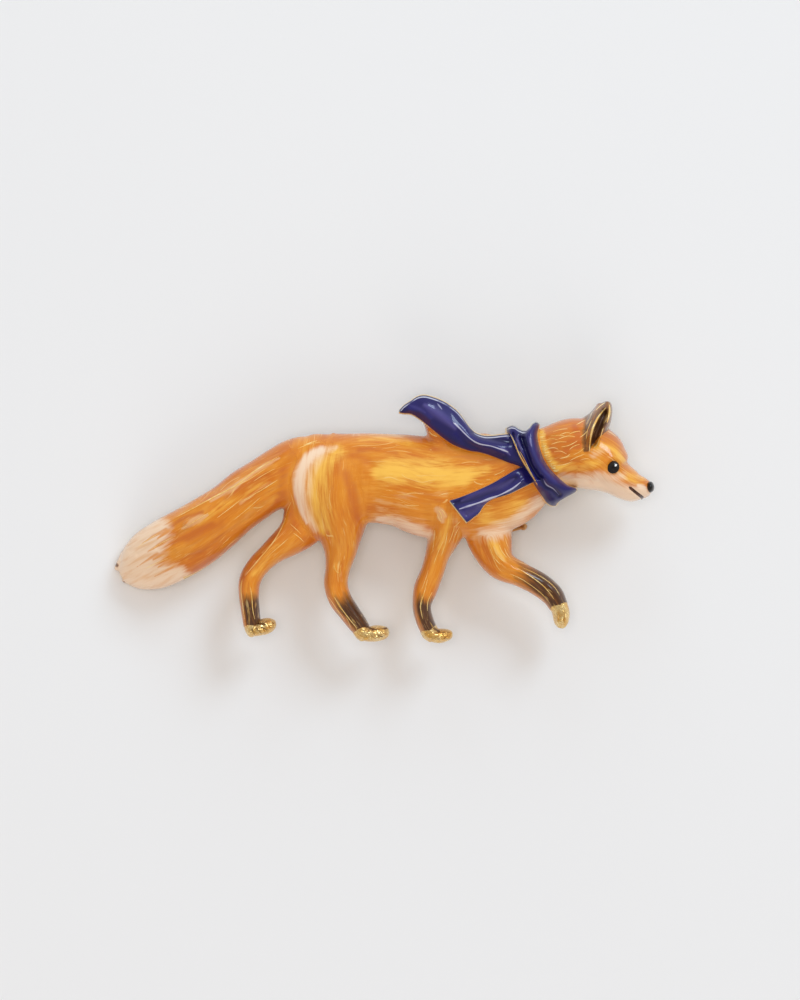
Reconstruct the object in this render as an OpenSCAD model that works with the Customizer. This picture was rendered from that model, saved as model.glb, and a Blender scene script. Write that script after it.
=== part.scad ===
// Enamelled fox brooch with a wind-blown scarf.
// It lies on its back: +X runs from tail to nose, +Y from paws to ears, +Z out of the front.
// The origin is the middle of the outline, on the surface that the brooch lies on.
// Every limb is a smooth curve through a short table of sections. Each section is a D: a flat
// back and a domed front. The tables hold shares of the named sizes.

/* [Trunk] */
// Length of the trunk, from rump to chest
trunk_length = 30.3; // [29:0.1:31.5]
// Height of the trunk, from back to brisket
trunk_height = 12.4; // [12:0.1:13]
// Thickness of the trunk in front of the flat back
trunk_thick = 5.4; // [5:0.1:5.8]

/* [Tail] */
// Reach of the tail behind the rump
tail_reach = 20.3; // [19:0.1:21.5]
// Drop of the tail, from its root to its tip
tail_drop = 12.4; // [11:0.1:13.5]
// Width of the tail
tail_width = 7.8; // [7.2:0.1:8.2]
// Thickness of the tail
tail_thick = 4.6; // [4.2:0.1:5]

/* [Legs] */
// Drop of the near hind leg, from the top of the haunch to the sole
near_hind_drop = 24.1; // [23:0.1:25]
// Drop of the far hind leg, from the thigh to the sole
far_hind_drop = 16.2; // [15.2:0.1:17]
// Drop of the near foreleg, from the shoulder to the sole
near_fore_drop = 22.2; // [21.2:0.1:23]
// Drop of the lifted far foreleg, from the elbow to the toes
far_fore_drop = 14.6; // [13.8:0.1:15.4]
// Width of the haunch
haunch_width = 10; // [9.4:0.1:10.6]
// Width of the shoulder
shoulder_width = 7.4; // [6.8:0.1:8]
// Thickness of the haunch and of the shoulder
haunch_thick = 5.9; // [5.5:0.1:6.2]
// Width of a leg above its paw
leg_width = 2.2; // [2:0.05:2.4]
// Thickness of a leg above its paw
leg_thick = 2.6; // [2.3:0.1:2.9]
// Length of a paw
paw_length = 2.7; // [2.4:0.1:3]

/* [Head] */
// Reach of the head and neck in front of the chest
head_reach = 14; // [13:0.1:15]
// Drop from the line of the back to the tip of the nose
nose_drop = 6.4; // [5.8:0.1:7]
// Height of the skull
skull_height = 8.3; // [7.9:0.1:8.7]
// Thickness of the skull
skull_thick = 5.6; // [5.2:0.1:6]
// Rise of the ears above the line of the back
ear_rise = 4; // [3.5:0.1:4.5]
// Width of an ear
ear_width = 3.3; // [3:0.1:3.6]
// Thickness of the near ear
ear_thick = 5; // [4.6:0.1:5.4]
// Diameter of the nose
nose_diameter = 1.3; // [1.1:0.1:1.5]

/* [Eye] */
// Diameter of the eye bead
eye_diameter = 1.5; // [1.3:0.1:1.7]
// Height of the eye's dome
eye_dome = 0.35; // [0.25:0.05:0.5]
// Depth of the socket that the eye sits in
eye_depth = 0.9; // [0.7:0.1:1.1]

/* [Scarf] */
// Length of the wrap down across the neck
wrap_drop = 8.9; // [8.5:0.1:9.3]
// Width of the wrap
wrap_width = 3.5; // [3.2:0.1:3.8]
// How far the wrap stands in front of the trunk
wrap_proud = 1.2; // [1:0.1:1.4]
// Reach of the flying end behind the chest
flying_reach = 16.2; // [15.5:0.1:17]
// Rise of the flying end above the line of the back
flying_rise = 4.6; // [4.2:0.1:5]
// Width of the flying end
flying_width = 3.7; // [3.4:0.1:4]
// Thickness of the flying end
flying_thick = 2.2; // [1.9:0.1:2.5]
// Reach of the hanging end from the knot
hanging_reach = 9; // [8.4:0.1:9.6]
// Fall of the hanging end from the knot
hanging_fall = 4.6; // [4.2:0.1:5]
// Width of the hanging end
hanging_width = 3.5; // [3.2:0.1:3.8]
// Thickness of the hanging end
hanging_thick = 2; // [1.8:0.1:2.2]
// Diameter of the rolled folds along the scarf
fold_diameter = 1; // [0.8:0.1:1.2]

/* [Clasp] */
// Height of the clasp behind the flat back
clasp_height = 4.2; // [3.8:0.1:4.6]
// Distance from hinge to catch
clasp_length = 22.4; // [21.5:0.1:23]
// Angle of the clasp across the back, in degrees
clasp_angle = -16; // [-18:1:-14]
// Width of the clasp's plate
plate_width = 3; // [2.6:0.1:3.4]
// Thickness of the clasp's plate
plate_thick = 0.8; // [0.6:0.1:1]
// Diameter of the pin
pin_diameter = 0.9; // [0.8:0.1:1]

/* [Fits] */
// Gap between a piece and the seat that holds it
clearance = 0.12; // [0.08:0.01:0.18]

/* [Hidden] */

// Points on a section's dome, and sections between two rows of a table
DOME_STEPS = 12;
ROW_STEPS = 3;
BALL_SIDES = 12;
// A dome's fullness: 1 is an ellipse, and less is squarer
FULLNESS = 0.72;

// Where the outline stands around the origin
rump_x = tail_reach - (tail_reach + trunk_length + head_reach) / 2;
chest_x = rump_x + trunk_length;
haunch_top = 0.065 * trunk_height;
shoulder_top = 0.225 * trunk_height;
sole_depth = max(haunch_top + near_hind_drop, shoulder_top + near_fore_drop);
back_y = (sole_depth - flying_rise) / 2;
flat_back = clasp_height;
tail_root = [rump_x, back_y - 0.39 * trunk_height];
near_hip = [rump_x + 0.235 * trunk_length, back_y - haunch_top];
far_hip = [rump_x + 0.13 * trunk_length, back_y - 0.66 * trunk_height];
near_shoulder = [rump_x + 0.675 * trunk_length, back_y - shoulder_top];
far_elbow = [rump_x + 0.802 * trunk_length, back_y - 0.69 * trunk_height];
nape = [chest_x, back_y];
knot = [chest_x - 0.23 * wrap_width, back_y - 0.387 * trunk_height];

// Columns of every table: along and down from the start, width and thickness, then the level of
// the section's back, which a table leaves out where its limb lies on the flat back
ALONG = 0;
DOWN = 1;
WIDE = 2;
THICK = 3;
LEVEL = 4;

// Shares of the trunk's length, height, height and thickness
TRUNK = [
    [0.000, 0.37, 0.50, 0.60],
    [0.030, 0.37, 0.73, 0.77],
    [0.096, 0.41, 0.88, 0.90],
    [0.195, 0.47, 0.97, 0.97],
    [0.327, 0.43, 0.88, 1.00],
    [0.459, 0.45, 0.90, 1.00],
    [0.591, 0.51, 1.00, 1.00],
    [0.723, 0.50, 1.00, 1.00],
    [0.855, 0.46, 0.94, 0.96],
    [0.950, 0.38, 0.76, 0.88],
    [1.000, 0.33, 0.58, 0.76]
];

// Shares of the tail's reach, drop, width, thickness and of the clasp's height
TAIL = [
    [-0.15, -0.07, 0.79, 0.80, 0],
    [0.005, 0.02, 0.89, 0.94, -0.03],
    [0.205, 0.21, 0.86, 0.98, -0.05],
    [0.400, 0.45, 0.90, 1.00, -0.11],
    [0.540, 0.61, 0.97, 1.00, -0.24],
    [0.680, 0.74, 1.00, 0.98, -0.48],
    [0.805, 0.85, 0.93, 0.90, -0.78],
    [0.905, 0.94, 0.64, 0.72, -0.97],
    [0.965, 0.99, 0.22, 0.40, -1]
];
// Hair locks at the tail's tip: start and end as shares of reach and drop, and their sizes
LOCK_START = 0;
LOCK_END = 1;
LOCK_SIZE = 2;
TAIL_LOCKS = [
    [[0.86, 0.78], [0.985, 0.80], 1.1],
    [[0.88, 0.86], [1.000, 0.90], 1.2],
    [[0.86, 0.92], [0.950, 1.02], 1.2],
    [[0.78, 0.95], [0.860, 1.09], 1.3]
];

// Shares of the leg's drop, drop, and of the haunch's or shoulder's width and thickness
NEAR_THIGH = [
    [0.010, 0.000, 0.55, 0.44],
    [-0.004, 0.075, 0.86, 0.84],
    [-0.012, 0.200, 0.98, 1.00],
    [-0.017, 0.340, 0.84, 0.97],
    [-0.010, 0.465, 0.56, 0.76]
];
FAR_THIGH = [
    [0.000, 0.000, 0.80, 0.62],
    [-0.130, 0.216, 0.49, 0.56]
];
NEAR_SHOULDER = [
    [0.010, 0.000, 0.62, 0.70],
    [-0.010, 0.117, 0.97, 0.99],
    [-0.023, 0.261, 0.90, 0.98],
    [-0.045, 0.405, 0.60, 0.74]
];
FAR_SHOULDER = [
    [0.000, 0.000, 0.84, 0.62],
    [0.040, 0.270, 0.70, 0.56]
];

// Shares of the leg's drop, drop, and of its width and thickness above the paw
NEAR_HIND_SHANK = [
    [-0.012, 0.552, 1.72, 1.35],
    [-0.025, 0.639, 1.22, 1.10],
    [-0.033, 0.714, 1.20, 1.00],
    [-0.012, 0.788, 1.16, 1.00],
    [0.033, 0.855, 1.02, 1.00],
    [0.070, 0.905, 0.98, 1.00],
    [0.104, 0.950, 0.90, 0.80]
];
FAR_HIND_SHANK = [
    [-0.315, 0.364, 1.30, 1.15],
    [-0.432, 0.475, 1.10, 1.00],
    [-0.490, 0.580, 1.08, 0.95],
    [-0.500, 0.691, 1.00, 0.90],
    [-0.488, 0.802, 0.96, 0.90],
    [-0.470, 0.925, 0.93, 0.82]
];
NEAR_FORE_SHANK = [
    [-0.086, 0.523, 1.20, 1.20],
    [-0.117, 0.622, 1.04, 1.05],
    [-0.151, 0.716, 1.16, 1.00],
    [-0.167, 0.806, 0.95, 1.00],
    [-0.149, 0.887, 0.92, 1.00],
    [-0.126, 0.946, 0.92, 0.85]
];
FAR_FORE_SHANK = [
    [0.130, 0.473, 1.55, 1.20],
    [0.281, 0.565, 1.25, 1.05],
    [0.432, 0.644, 1.27, 1.00],
    [0.540, 0.730, 1.13, 0.95],
    [0.585, 0.810, 0.94, 0.92],
    [0.600, 0.850, 0.85, 0.82]
];

// Shares of the head's reach, the nose's drop, the skull's height and thickness
HEAD = [
    [0.036, 0.55, 0.98, 0.86],
    [0.171, 0.43, 0.99, 0.93],
    [0.350, 0.35, 1.00, 1.00],
    [0.520, 0.46, 0.92, 1.00],
    [0.625, 0.61, 0.77, 0.96],
    [0.696, 0.77, 0.58, 0.86],
    [0.825, 0.97, 0.43, 0.68],
    [0.921, 1.02, 0.31, 0.50],
    [0.975, 1.03, 0.17, 0.34]
];
NECK = [
    [-0.350, 0.90, 0.70, 0.50],
    [-0.100, 0.64, 0.74, 0.58],
    [0.120, 0.45, 0.74, 0.60],
    [0.330, 0.36, 0.70, 0.60]
];
// Shares of the head's reach, the ears' rise, an ear's width and thickness
NEAR_EAR = [
    [0.450, 0.45, 0.80, 0.92],
    [0.500, -0.05, 1.00, 1.00],
    [0.548, -0.45, 0.84, 0.92],
    [0.590, -0.80, 0.50, 0.76],
    [0.608, -1.00, 0.14, 0.56]
];
FAR_EAR = [
    [0.480, 0.10, 0.60, 0.60],
    [0.520, -0.45, 0.50, 0.50],
    [0.560, -0.88, 0.18, 0.36]
];

// Shares of the wrap's drop, drop and width, and of the trunk's thickness with the wrap on it
WRAP = [
    [-0.191, -0.145, 0.74, 0.44],
    [-0.184, -0.020, 1.00, 0.76],
    [-0.150, 0.180, 0.92, 0.95],
    [-0.083, 0.348, 0.88, 1.00],
    [0.022, 0.500, 0.95, 1.00],
    [0.150, 0.640, 1.12, 0.96],
    [0.285, 0.780, 1.22, 0.78],
    [0.375, 0.890, 0.90, 0.46]
];
// Shares of the flying end's reach, rise, width and thickness, and of the trunk's thickness
FLYING = [
    [-0.111, 0.435, 1.08, 1.00, 0.66],
    [-0.241, 0.380, 0.95, 1.00, 0.64],
    [-0.377, 0.270, 0.66, 1.00, 0.60],
    [-0.500, 0.180, 0.72, 1.00, 0.56],
    [-0.618, -0.080, 0.92, 1.00, 0.52],
    [-0.710, -0.380, 1.02, 0.95, 0.50],
    [-0.803, -0.610, 0.95, 0.90, 0.50],
    [-0.895, -0.690, 0.66, 0.80, 0.52],
    [-0.990, -0.570, 0.20, 0.60, 0.56]
];
// Shares of the hanging end's reach, fall, width and thickness, and of the trunk's thickness
HANGING = [
    [0.000, -0.06, 0.78, 1.00, 0.80],
    [-0.167, 0.130, 0.73, 1.00, 0.80],
    [-0.400, 0.359, 0.66, 1.00, 0.80],
    [-0.600, 0.554, 0.67, 1.00, 0.80],
    [-0.744, 0.739, 0.80, 1.00, 0.79],
    [-0.889, 0.913, 0.97, 0.95, 0.78],
    [-0.972, 1.000, 1.03, 0.85, 0.77]
];

// Toes of a paw: forward, aside and up as shares of its length, then the tip's radius
FORWARD = 0;
ASIDE = 1;
UP = 2;
TIP = 3;
TOES = [
    [0.86, 0.06, 0.56, 0.22],
    [0.72, -0.19, 0.40, 0.22],
    [0.44, -0.30, 0.30, 0.20],
    [0.60, 0.02, 0.26, 0.24]
];

// A table's rows at their real sizes, around a start
function place(table, start, reach, fall, width, thick, level = 0) = [
    for (row = table)
        [
            start.x + row[ALONG] * reach,
            start.y - row[DOWN] * fall,
            row[WIDE] * width,
            row[THICK] * thick,
            flat_back + (len(row) > LEVEL ? row[LEVEL] * level : 0)
        ]
];

// A smooth curve through four rows, from the second to the third
function curve(a, b, c, d, t) =
    0.5 * (2 * b + (c - a) * t + (2 * a - 5 * b + 4 * c - d) * t ^ 2 + (3 * b - a - 3 * c + d) * t ^ 3);

function smooth(rows) =
    let (last = len(rows) - 1)
    [
        for (i = [0 : last - 1])
            for (k = [0 : ROW_STEPS - 1])
                curve(rows[max(i - 1, 0)], rows[i], rows[i + 1], rows[min(i + 2, last)], k / ROW_STEPS),
        rows[last]
    ];

// The direction of a path at one of its rows
function heading(rows, i) =
    let (
        before = rows[max(i - 1, 0)],
        after = rows[min(i + 1, len(rows) - 1)],
        step = [after.x - before.x, after.y - before.y]
    )
    step / norm(step);

// One D-shaped section across a path, grown outwards by a gap
function section(row, direction, gap) = [
    for (i = [0 : DOME_STEPS])
        let (
            turn = 180 * i / DOME_STEPS,
            across = (row[WIDE] / 2 + gap) * cos(turn),
            up = row[LEVEL] - gap + (row[THICK] + 2 * gap) * pow(sin(turn), FULLNESS)
        )
        [row.x - direction.y * across, row.y + direction.x * across, up]
];

// A limb: sections along a smooth path, joined by triangles and closed at both ends
module limb(rows, gap = 0) {
    path = smooth(rows);
    last = len(path) - 1;
    ring = DOME_STEPS + 1;
    rings = [
        for (i = [0 : last])
            let (
                direction = heading(path, i),
                push = i == 0 ? -gap : i == last ? gap : 0,
                row = path[i] + concat(push * direction, [0, 0, 0])
            )
            section(row, direction, gap)
    ];
    sides = [
        for (i = [0 : last - 1])
            for (k = [0 : ring - 1])
                let (
                    a = i * ring + k,
                    b = i * ring + (k + 1) % ring
                )
                each [[a, a + ring, b], [b, a + ring, b + ring]]
    ];
    first_cap = [for (k = [0 : ring - 1]) k];
    last_cap = [for (k = [ring - 1 : -1 : 0]) last * ring + k];
    polyhedron(points = [for (one = rings) each one], faces = concat(sides, [first_cap, last_cap]));
}

// A rolled fold: a chain of balls along a path, on the crest of its sections
module rolled_fold(rows, aside, gap = 0) {
    path = smooth(rows);
    last = len(path) - 1;
    for (i = [0 : 2 : last - 4])
        hull() {
            fold_ball(path, i, aside, gap);
            fold_ball(path, min(i + 2, last), aside, gap);
        }
}

module fold_ball(path, i, aside, gap) {
    row = path[i];
    direction = heading(path, i);
    across = aside * row[WIDE] / 2;
    crest = row[LEVEL] + row[THICK] * pow(1 - aside ^ 2, FULLNESS / 2);
    translate([row.x - direction.y * across, row.y + direction.x * across, crest - 0.3 * fold_diameter])
        sphere(d = min(fold_diameter, row[WIDE] / 2) + 2 * gap, $fn = BALL_SIDES);
}

// A paw: toes that spread from an ankle, aimed by an angle
module paw(ankle, aim) {
    ankle_radius = 0.42 * leg_width;
    translate([ankle.x, ankle.y, flat_back])
        rotate(aim)
        for (toe = TOES)
            hull() {
                translate([0, 0, ankle_radius])
                    sphere(r = ankle_radius, $fn = BALL_SIDES);
                translate([toe[FORWARD], toe[ASIDE], toe[UP]] * paw_length)
                    sphere(r = toe[TIP] * paw_length, $fn = BALL_SIDES);
            }
}

// A leg: its thick upper part, its shank and its paw
module leg(upper, shank, start, drop, upper_width, aim) {
    upper_rows = place(upper, start, drop, drop, upper_width, haunch_thick);
    shank_rows = place(shank, start, drop, drop, leg_width, leg_thick);
    limb(concat(upper_rows, shank_rows));
    ankle = shank_rows[len(shank_rows) - 1];
    paw([ankle.x, ankle.y], aim);
}

module tail() {
    limb(place(TAIL, tail_root, -tail_reach, tail_drop, tail_width, tail_thick, clasp_height));
    for (lock = TAIL_LOCKS)
        hull() {
            lock_ball(lock[LOCK_START], lock[LOCK_SIZE]);
            lock_ball(lock[LOCK_END], 0.3 * lock[LOCK_SIZE]);
        }
}

// One end of a hair lock, resting on the surface
module lock_ball(at, radius) {
    translate([tail_root.x - at.x * tail_reach, tail_root.y - at.y * tail_drop, radius])
        sphere(r = radius, $fn = BALL_SIDES);
}

trunk_rows = place(TRUNK, [rump_x, back_y], trunk_length, trunk_height, trunk_height, trunk_thick);
head_rows = place(HEAD, nape, head_reach, nose_drop, skull_height, skull_thick);
neck_rows = place(NECK, nape, head_reach, nose_drop, skull_height, skull_thick);
wrap_rows = place(WRAP, nape, wrap_drop, wrap_drop, wrap_width, trunk_thick + wrap_proud);
flying_rows = place(FLYING, nape, flying_reach, flying_rise, flying_width, flying_thick, trunk_thick);
hanging_rows =
    place(HANGING, knot, hanging_reach, hanging_fall, hanging_width, hanging_thick, trunk_thick);

module head() {
    limb(head_rows);
    limb(place(NEAR_EAR, nape, head_reach, ear_rise, ear_width, ear_thick));
    limb(place(FAR_EAR, nape, head_reach, ear_rise, ear_width, ear_thick));
    translate([nape.x + 0.965 * head_reach, nape.y - 0.98 * nose_drop, flat_back + 0.34 * skull_thick])
        sphere(d = nose_diameter, $fn = BALL_SIDES);
}

// The hollow of the near ear, sunk between its rims
module ear_hollow() {
    front = flat_back + ear_thick;
    hull() {
        translate([nape.x + 0.53 * head_reach, nape.y + 0.02 * ear_rise, front + 0.1 * ear_width])
            sphere(d = 0.46 * ear_width, $fn = BALL_SIDES);
        translate([nape.x + 0.59 * head_reach, nape.y + 0.62 * ear_rise, front - 0.1 * ear_width])
            sphere(d = 0.2 * ear_width, $fn = BALL_SIDES);
    }
}

module wrap_form(gap) {
    limb(wrap_rows, gap);
    rolled_fold(wrap_rows, 0.55, gap);
}

module flying_form(gap) {
    limb(flying_rows, gap);
    rolled_fold(flying_rows, 0.25, gap);
}

module hanging_form(gap) {
    limb(hanging_rows, gap);
    rolled_fold(hanging_rows, 0.3, gap);
}

// A web of metal that carries the flying end from the line of the back
module flying_web() {
    hull()
        for (rise = [-0.4, 0.45])
            translate([nape.x - 0.81 * flying_reach, nape.y + rise * flying_rise, flat_back])
                cylinder(d = 0.36 * flying_width, h = 0.8 * trunk_thick, $fn = BALL_SIDES);
}

eye_place = [nape.x + 0.654 * head_reach, nape.y - 0.625 * nose_drop];
eye_level = flat_back + 0.9 * skull_thick;

module eye_socket() {
    socket_depth = eye_depth + clearance;
    translate([eye_place.x, eye_place.y, eye_level - socket_depth])
        cylinder(d = eye_diameter + 2 * clearance, h = skull_thick, $fn = 2 * BALL_SIDES);
}

module fox_body() {
    color("darkorange")
        difference() {
            union() {
                difference() {
                    union() {
                        limb(trunk_rows);
                        head();
                    }
                    wrap_form(clearance);
                }
                limb(neck_rows);
                tail();
                leg(NEAR_THIGH, NEAR_HIND_SHANK, near_hip, near_hind_drop, haunch_width, 0);
                leg(FAR_THIGH, FAR_HIND_SHANK, far_hip, far_hind_drop, haunch_width, 8);
                leg(NEAR_SHOULDER, NEAR_FORE_SHANK, near_shoulder, near_fore_drop, shoulder_width, -4);
                leg(FAR_SHOULDER, FAR_FORE_SHANK, far_elbow, far_fore_drop, shoulder_width, -78);
                flying_web();
            }
            flying_form(clearance);
            hanging_form(clearance);
            eye_socket();
            ear_hollow();
        }
}

module scarf_wrap() {
    color("midnightblue")
        difference() {
            union()
                wrap_form(0);
            limb(neck_rows, clearance);
        }
}

module scarf_flying_end() {
    color("darkblue")
        difference() {
            union()
                flying_form(0);
            wrap_form(clearance);
        }
}

module scarf_hanging_end() {
    color("darkblue")
        difference() {
            union()
                hanging_form(0);
            wrap_form(clearance);
            flying_form(clearance);
        }
}

module eye() {
    radius = eye_diameter / 2;
    dome_radius = (radius ^ 2 + eye_dome ^ 2) / (2 * eye_dome);
    color("black")
        translate([eye_place.x, eye_place.y, eye_level]) {
            translate([0, 0, -eye_depth])
                cylinder(r = radius, h = eye_depth, $fn = 32);
            intersection() {
                translate([0, 0, eye_dome - dome_radius])
                    sphere(r = dome_radius, $fn = 48);
                cylinder(r = radius, h = eye_dome + 1, $fn = 32);
            }
        }
}

module pin_clasp() {
    hinge = [rump_x + 0.16 * trunk_length, back_y - 0.35 * trunk_height];
    barrel = 0.34 * clasp_height;
    plate_level = flat_back - plate_thick;
    catch_half = 0.3 * plate_width;
    lever_start = [clasp_length + 0.15 * plate_width, -0.38 * plate_width];
    lever_end = [clasp_length + 0.87 * plate_width, 0.04 * plate_width];
    lever = lever_end - lever_start;
    color("goldenrod")
        translate([hinge.x, hinge.y, 0])
        rotate(clasp_angle) {
            // The plate, soldered flat against the back
            translate([-plate_width / 2, -plate_width / 2, plate_level])
                cube([clasp_length + plate_width / 2 + catch_half, plate_width, plate_thick]);
            // The hinge's two cheeks
            for (side = [-1, 1])
                translate([0, side * plate_width / 3, 0])
                    hinge_cheek(barrel, plate_level);
            // The hinge's coil, with the pin that runs from it to the catch
            translate([0, plate_width / 3, barrel])
                rotate([90, 0, 0])
                cylinder(r = 0.8 * barrel, h = 2 * plate_width / 3, $fn = 32);
            translate([0, 0, barrel])
                rotate([0, 90, 0])
                cylinder(d = pin_diameter, h = clasp_length, $fn = 32);
            // The catch: a short barrel around the pin's end, on a post
            translate([clasp_length - catch_half, 0, barrel])
                rotate([0, 90, 0])
                cylinder(r = barrel, h = 2 * catch_half, $fn = 32);
            translate([clasp_length - catch_half, -plate_width / 6, barrel])
                cube([2 * catch_half, plate_width / 3, plate_level - barrel + plate_thick / 2]);
            // The lever that turns the catch, with a knob on its end
            translate([lever_start.x, lever_start.y, barrel])
                rotate([0, 90, atan2(lever.y, lever.x)])
                cylinder(d = 0.6 * pin_diameter, h = norm(lever), $fn = 24);
            translate([lever_end.x, lever_end.y, barrel])
                sphere(d = pin_diameter, $fn = 32);
        }
}

// A cheek of the hinge: a flat ear with a round foot
module hinge_cheek(barrel, height) {
    cheek = plate_thick;
    translate([0, cheek / 2, barrel])
        rotate([90, 0, 0])
        cylinder(r = barrel, h = cheek, $fn = 32);
    translate([-barrel, -cheek / 2, barrel])
        cube([2 * barrel, cheek, height - barrel + plate_thick / 2]);
}

fox_body();
scarf_wrap();
scarf_flying_end();
scarf_hanging_end();
eye();
pin_clasp();
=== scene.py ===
# %% [markdown]
# # An enamelled fox brooch with a wind-blown scarf
# The brooch is a flat-backed relief: a gilt casting whose domed front is filled with glossy
# enamel. It lies face up on a pale table, seen from straight above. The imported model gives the
# frame. The fox and the scarf's three parts take the place of their solids, with the fine forms
# and paints that the real brooch shows. The eye and the clasp keep theirs. All shapes are
# worked out in millimetres and written into their meshes in metres.

# %% Load the frame
import math

import bpy
import numpy as np
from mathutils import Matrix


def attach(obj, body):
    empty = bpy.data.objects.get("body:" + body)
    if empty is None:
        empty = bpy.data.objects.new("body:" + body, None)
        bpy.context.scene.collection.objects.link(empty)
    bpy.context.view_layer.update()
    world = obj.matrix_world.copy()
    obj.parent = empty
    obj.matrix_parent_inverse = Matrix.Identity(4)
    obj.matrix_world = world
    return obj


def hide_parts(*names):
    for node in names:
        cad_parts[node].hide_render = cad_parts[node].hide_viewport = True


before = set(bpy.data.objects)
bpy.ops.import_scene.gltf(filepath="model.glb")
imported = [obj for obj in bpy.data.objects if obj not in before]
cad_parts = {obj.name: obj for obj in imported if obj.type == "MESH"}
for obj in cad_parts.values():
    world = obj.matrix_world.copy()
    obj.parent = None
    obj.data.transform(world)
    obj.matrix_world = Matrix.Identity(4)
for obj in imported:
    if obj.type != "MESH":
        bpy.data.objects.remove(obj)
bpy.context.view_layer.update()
MM = 0.001
print("nodes:", sorted(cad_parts))

# %% [markdown]
# ## The camera
# The photograph looks straight down on the brooch through a long lens. A camera far above, with
# a narrow view, gives the same flat picture: 120 mm of table fill the height of the frame.

# %% Place the camera
VIEW_HEIGHT = 120 * MM
CAMERA_DISTANCE = 0.7
LOOK_AT = (2.04 * MM, 2.28 * MM, 5 * MM)
SENSOR_HEIGHT = 24.0
scene = bpy.context.scene


def put(name, data):
    """A new object in the scene, for a mesh, a lamp or a camera."""
    made = bpy.data.objects.new(name, data)
    scene.collection.objects.link(made)
    return made


camera_data = bpy.data.cameras.new("camera")
camera_data.sensor_fit = "VERTICAL"
camera_data.sensor_height = SENSOR_HEIGHT
camera_data.lens = SENSOR_HEIGHT * CAMERA_DISTANCE / VIEW_HEIGHT
camera = put("camera", camera_data)
camera.location = (*LOOK_AT[:2], LOOK_AT[2] + CAMERA_DISTANCE)
scene.camera = camera
scene.view_settings.view_transform = "Standard"
scene.view_settings.look = "None"
print("lens", round(camera_data.lens, 1), "mm")

# %% [markdown]
# ## The table and the light
# A pale, matt table catches soft shadows. A wide sheet overhead and a white surround give most
# of the light. The sheet is kept out of the gloss, as a polarising filter does in a studio, so
# it doesn't veil the enamel. A window beyond the fox's head puts the gleam on the gilt, and a
# low, weak sheet beyond its back lifts every upper edge. These two are cool and the rest are
# warm, so the open table is neutral while its shadows are warm.

# %% Lay the table
FLOOR_HALF = 2.0
floor_mesh = bpy.data.meshes.new("table")
corners = [(x * FLOOR_HALF, y * FLOOR_HALF, 0) for x, y in ((-1, -1), (1, -1), (1, 1), (-1, 1))]
floor_mesh.from_pydata(corners, [], [(0, 1, 2, 3)])
table = put("table", floor_mesh)
print("table:", 2 * FLOOR_HALF, "m across")

# %% Hang the lights
COOL = (0.80, 1.0, 1.18)
WARM = (1.05, 0.993, 0.945)
CENTRE = (0.002, 0.002, 0.0)
SHEETS = [  # name, place, side and power, tint, whether the gloss shows it
    ("window", (0.55, 0.75, 0.66), 0.42, 4.5, COOL, True),
    ("rim", (-0.15, 0.95, 0.26), 0.45, 1.6, COOL, False),
    ("overhead", (-0.05, 0.0, 1.2), 0.50, 3.6, WARM, False),
    ("fill", (0.10, -0.75, 0.45), 0.50, 1.2, WARM, False)]


def soft_light(name, place, side, power, tint, in_gloss):
    """A square sheet of light that faces the brooch, its place and its side in metres."""
    data = bpy.data.lights.new(name, "AREA")
    data.shape = "SQUARE"
    data.size = side
    data.energy = power
    data.color = tint
    lamp = put(name, data)
    lamp.location = place
    away = [p - c for p, c in zip(place, CENTRE)]
    flat = math.hypot(away[0], away[1])
    lamp.rotation_euler = (math.atan2(flat, away[2]), 0, math.atan2(away[0], -away[1]))
    lamp.visible_glossy = in_gloss


for sheet in SHEETS:
    soft_light(*sheet)


# %% Surround the scene
def surround(near, beyond, overhead):
    """A surround that is brighter beyond the fox's back, where the windows are.

    Straight overhead, where the camera and its arm hang, it falls to a share of that.
    """
    world = bpy.data.worlds.new("surround")
    world.use_nodes = True
    nodes, links = world.node_tree.nodes, world.node_tree.links
    way = nodes.new("ShaderNodeTexCoord")
    split = nodes.new("ShaderNodeSeparateXYZ")
    product = nodes.new("ShaderNodeMath")
    product.operation = "MULTIPLY"
    links.new(way.outputs["Generated"], split.inputs[0])
    # an axis, where along it the fade starts and ends, and the strength at each
    fades = (("Y", -0.7, 0.7, near, beyond), ("Z", 0.86, 0.98, 1.0, overhead))
    for slot, (axis, *ends) in enumerate(fades):
        fade = nodes.new("ShaderNodeMapRange")
        fade.interpolation_type = "SMOOTHSTEP"
        for key, value in zip(("From Min", "From Max", "To Min", "To Max"), ends):
            fade.inputs[key].default_value = value
        links.new(split.outputs[axis], fade.inputs["Value"])
        links.new(fade.outputs[0], product.inputs[slot])
    links.new(product.outputs[0], nodes["Background"].inputs["Strength"])
    nodes["Background"].inputs["Color"].default_value = (*WARM, 1.0)
    return world


scene.world = surround(near=0.44, beyond=0.54, overhead=0.6)
print("surround:", scene.world.name)

# %% [markdown]
# ## Curves and sections
# Every limb follows a smooth curve through a short table of rows. Each row holds the curve's
# place, the limb's width and thickness, and the level of its flat back. A D-shaped section
# carried along that curve makes the limb: a flat back and a domed front, as a casting from a
# two-part mould has.


# %% Smooth a table of rows
def smooth(rows, steps=6):
    """A cubic through each four neighbouring rows, from the second to the third of them."""
    rows = np.array(rows, float)
    padded = np.vstack([rows[:1], rows, rows[-1:]])
    count = len(rows) - 1
    a, b, c, d = (padded[i:count + i] for i in range(4))
    t = np.arange(steps)[:, None, None] / steps
    spans = 0.5 * (2 * b + (c - a) * t + (2 * a - 5 * b + 4 * c - d) * t ** 2
                   + (3 * b - a - 3 * c + d) * t ** 3)
    return np.vstack([spans.transpose(1, 0, 2).reshape(-1, rows.shape[1]), rows[-1:]])


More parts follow.
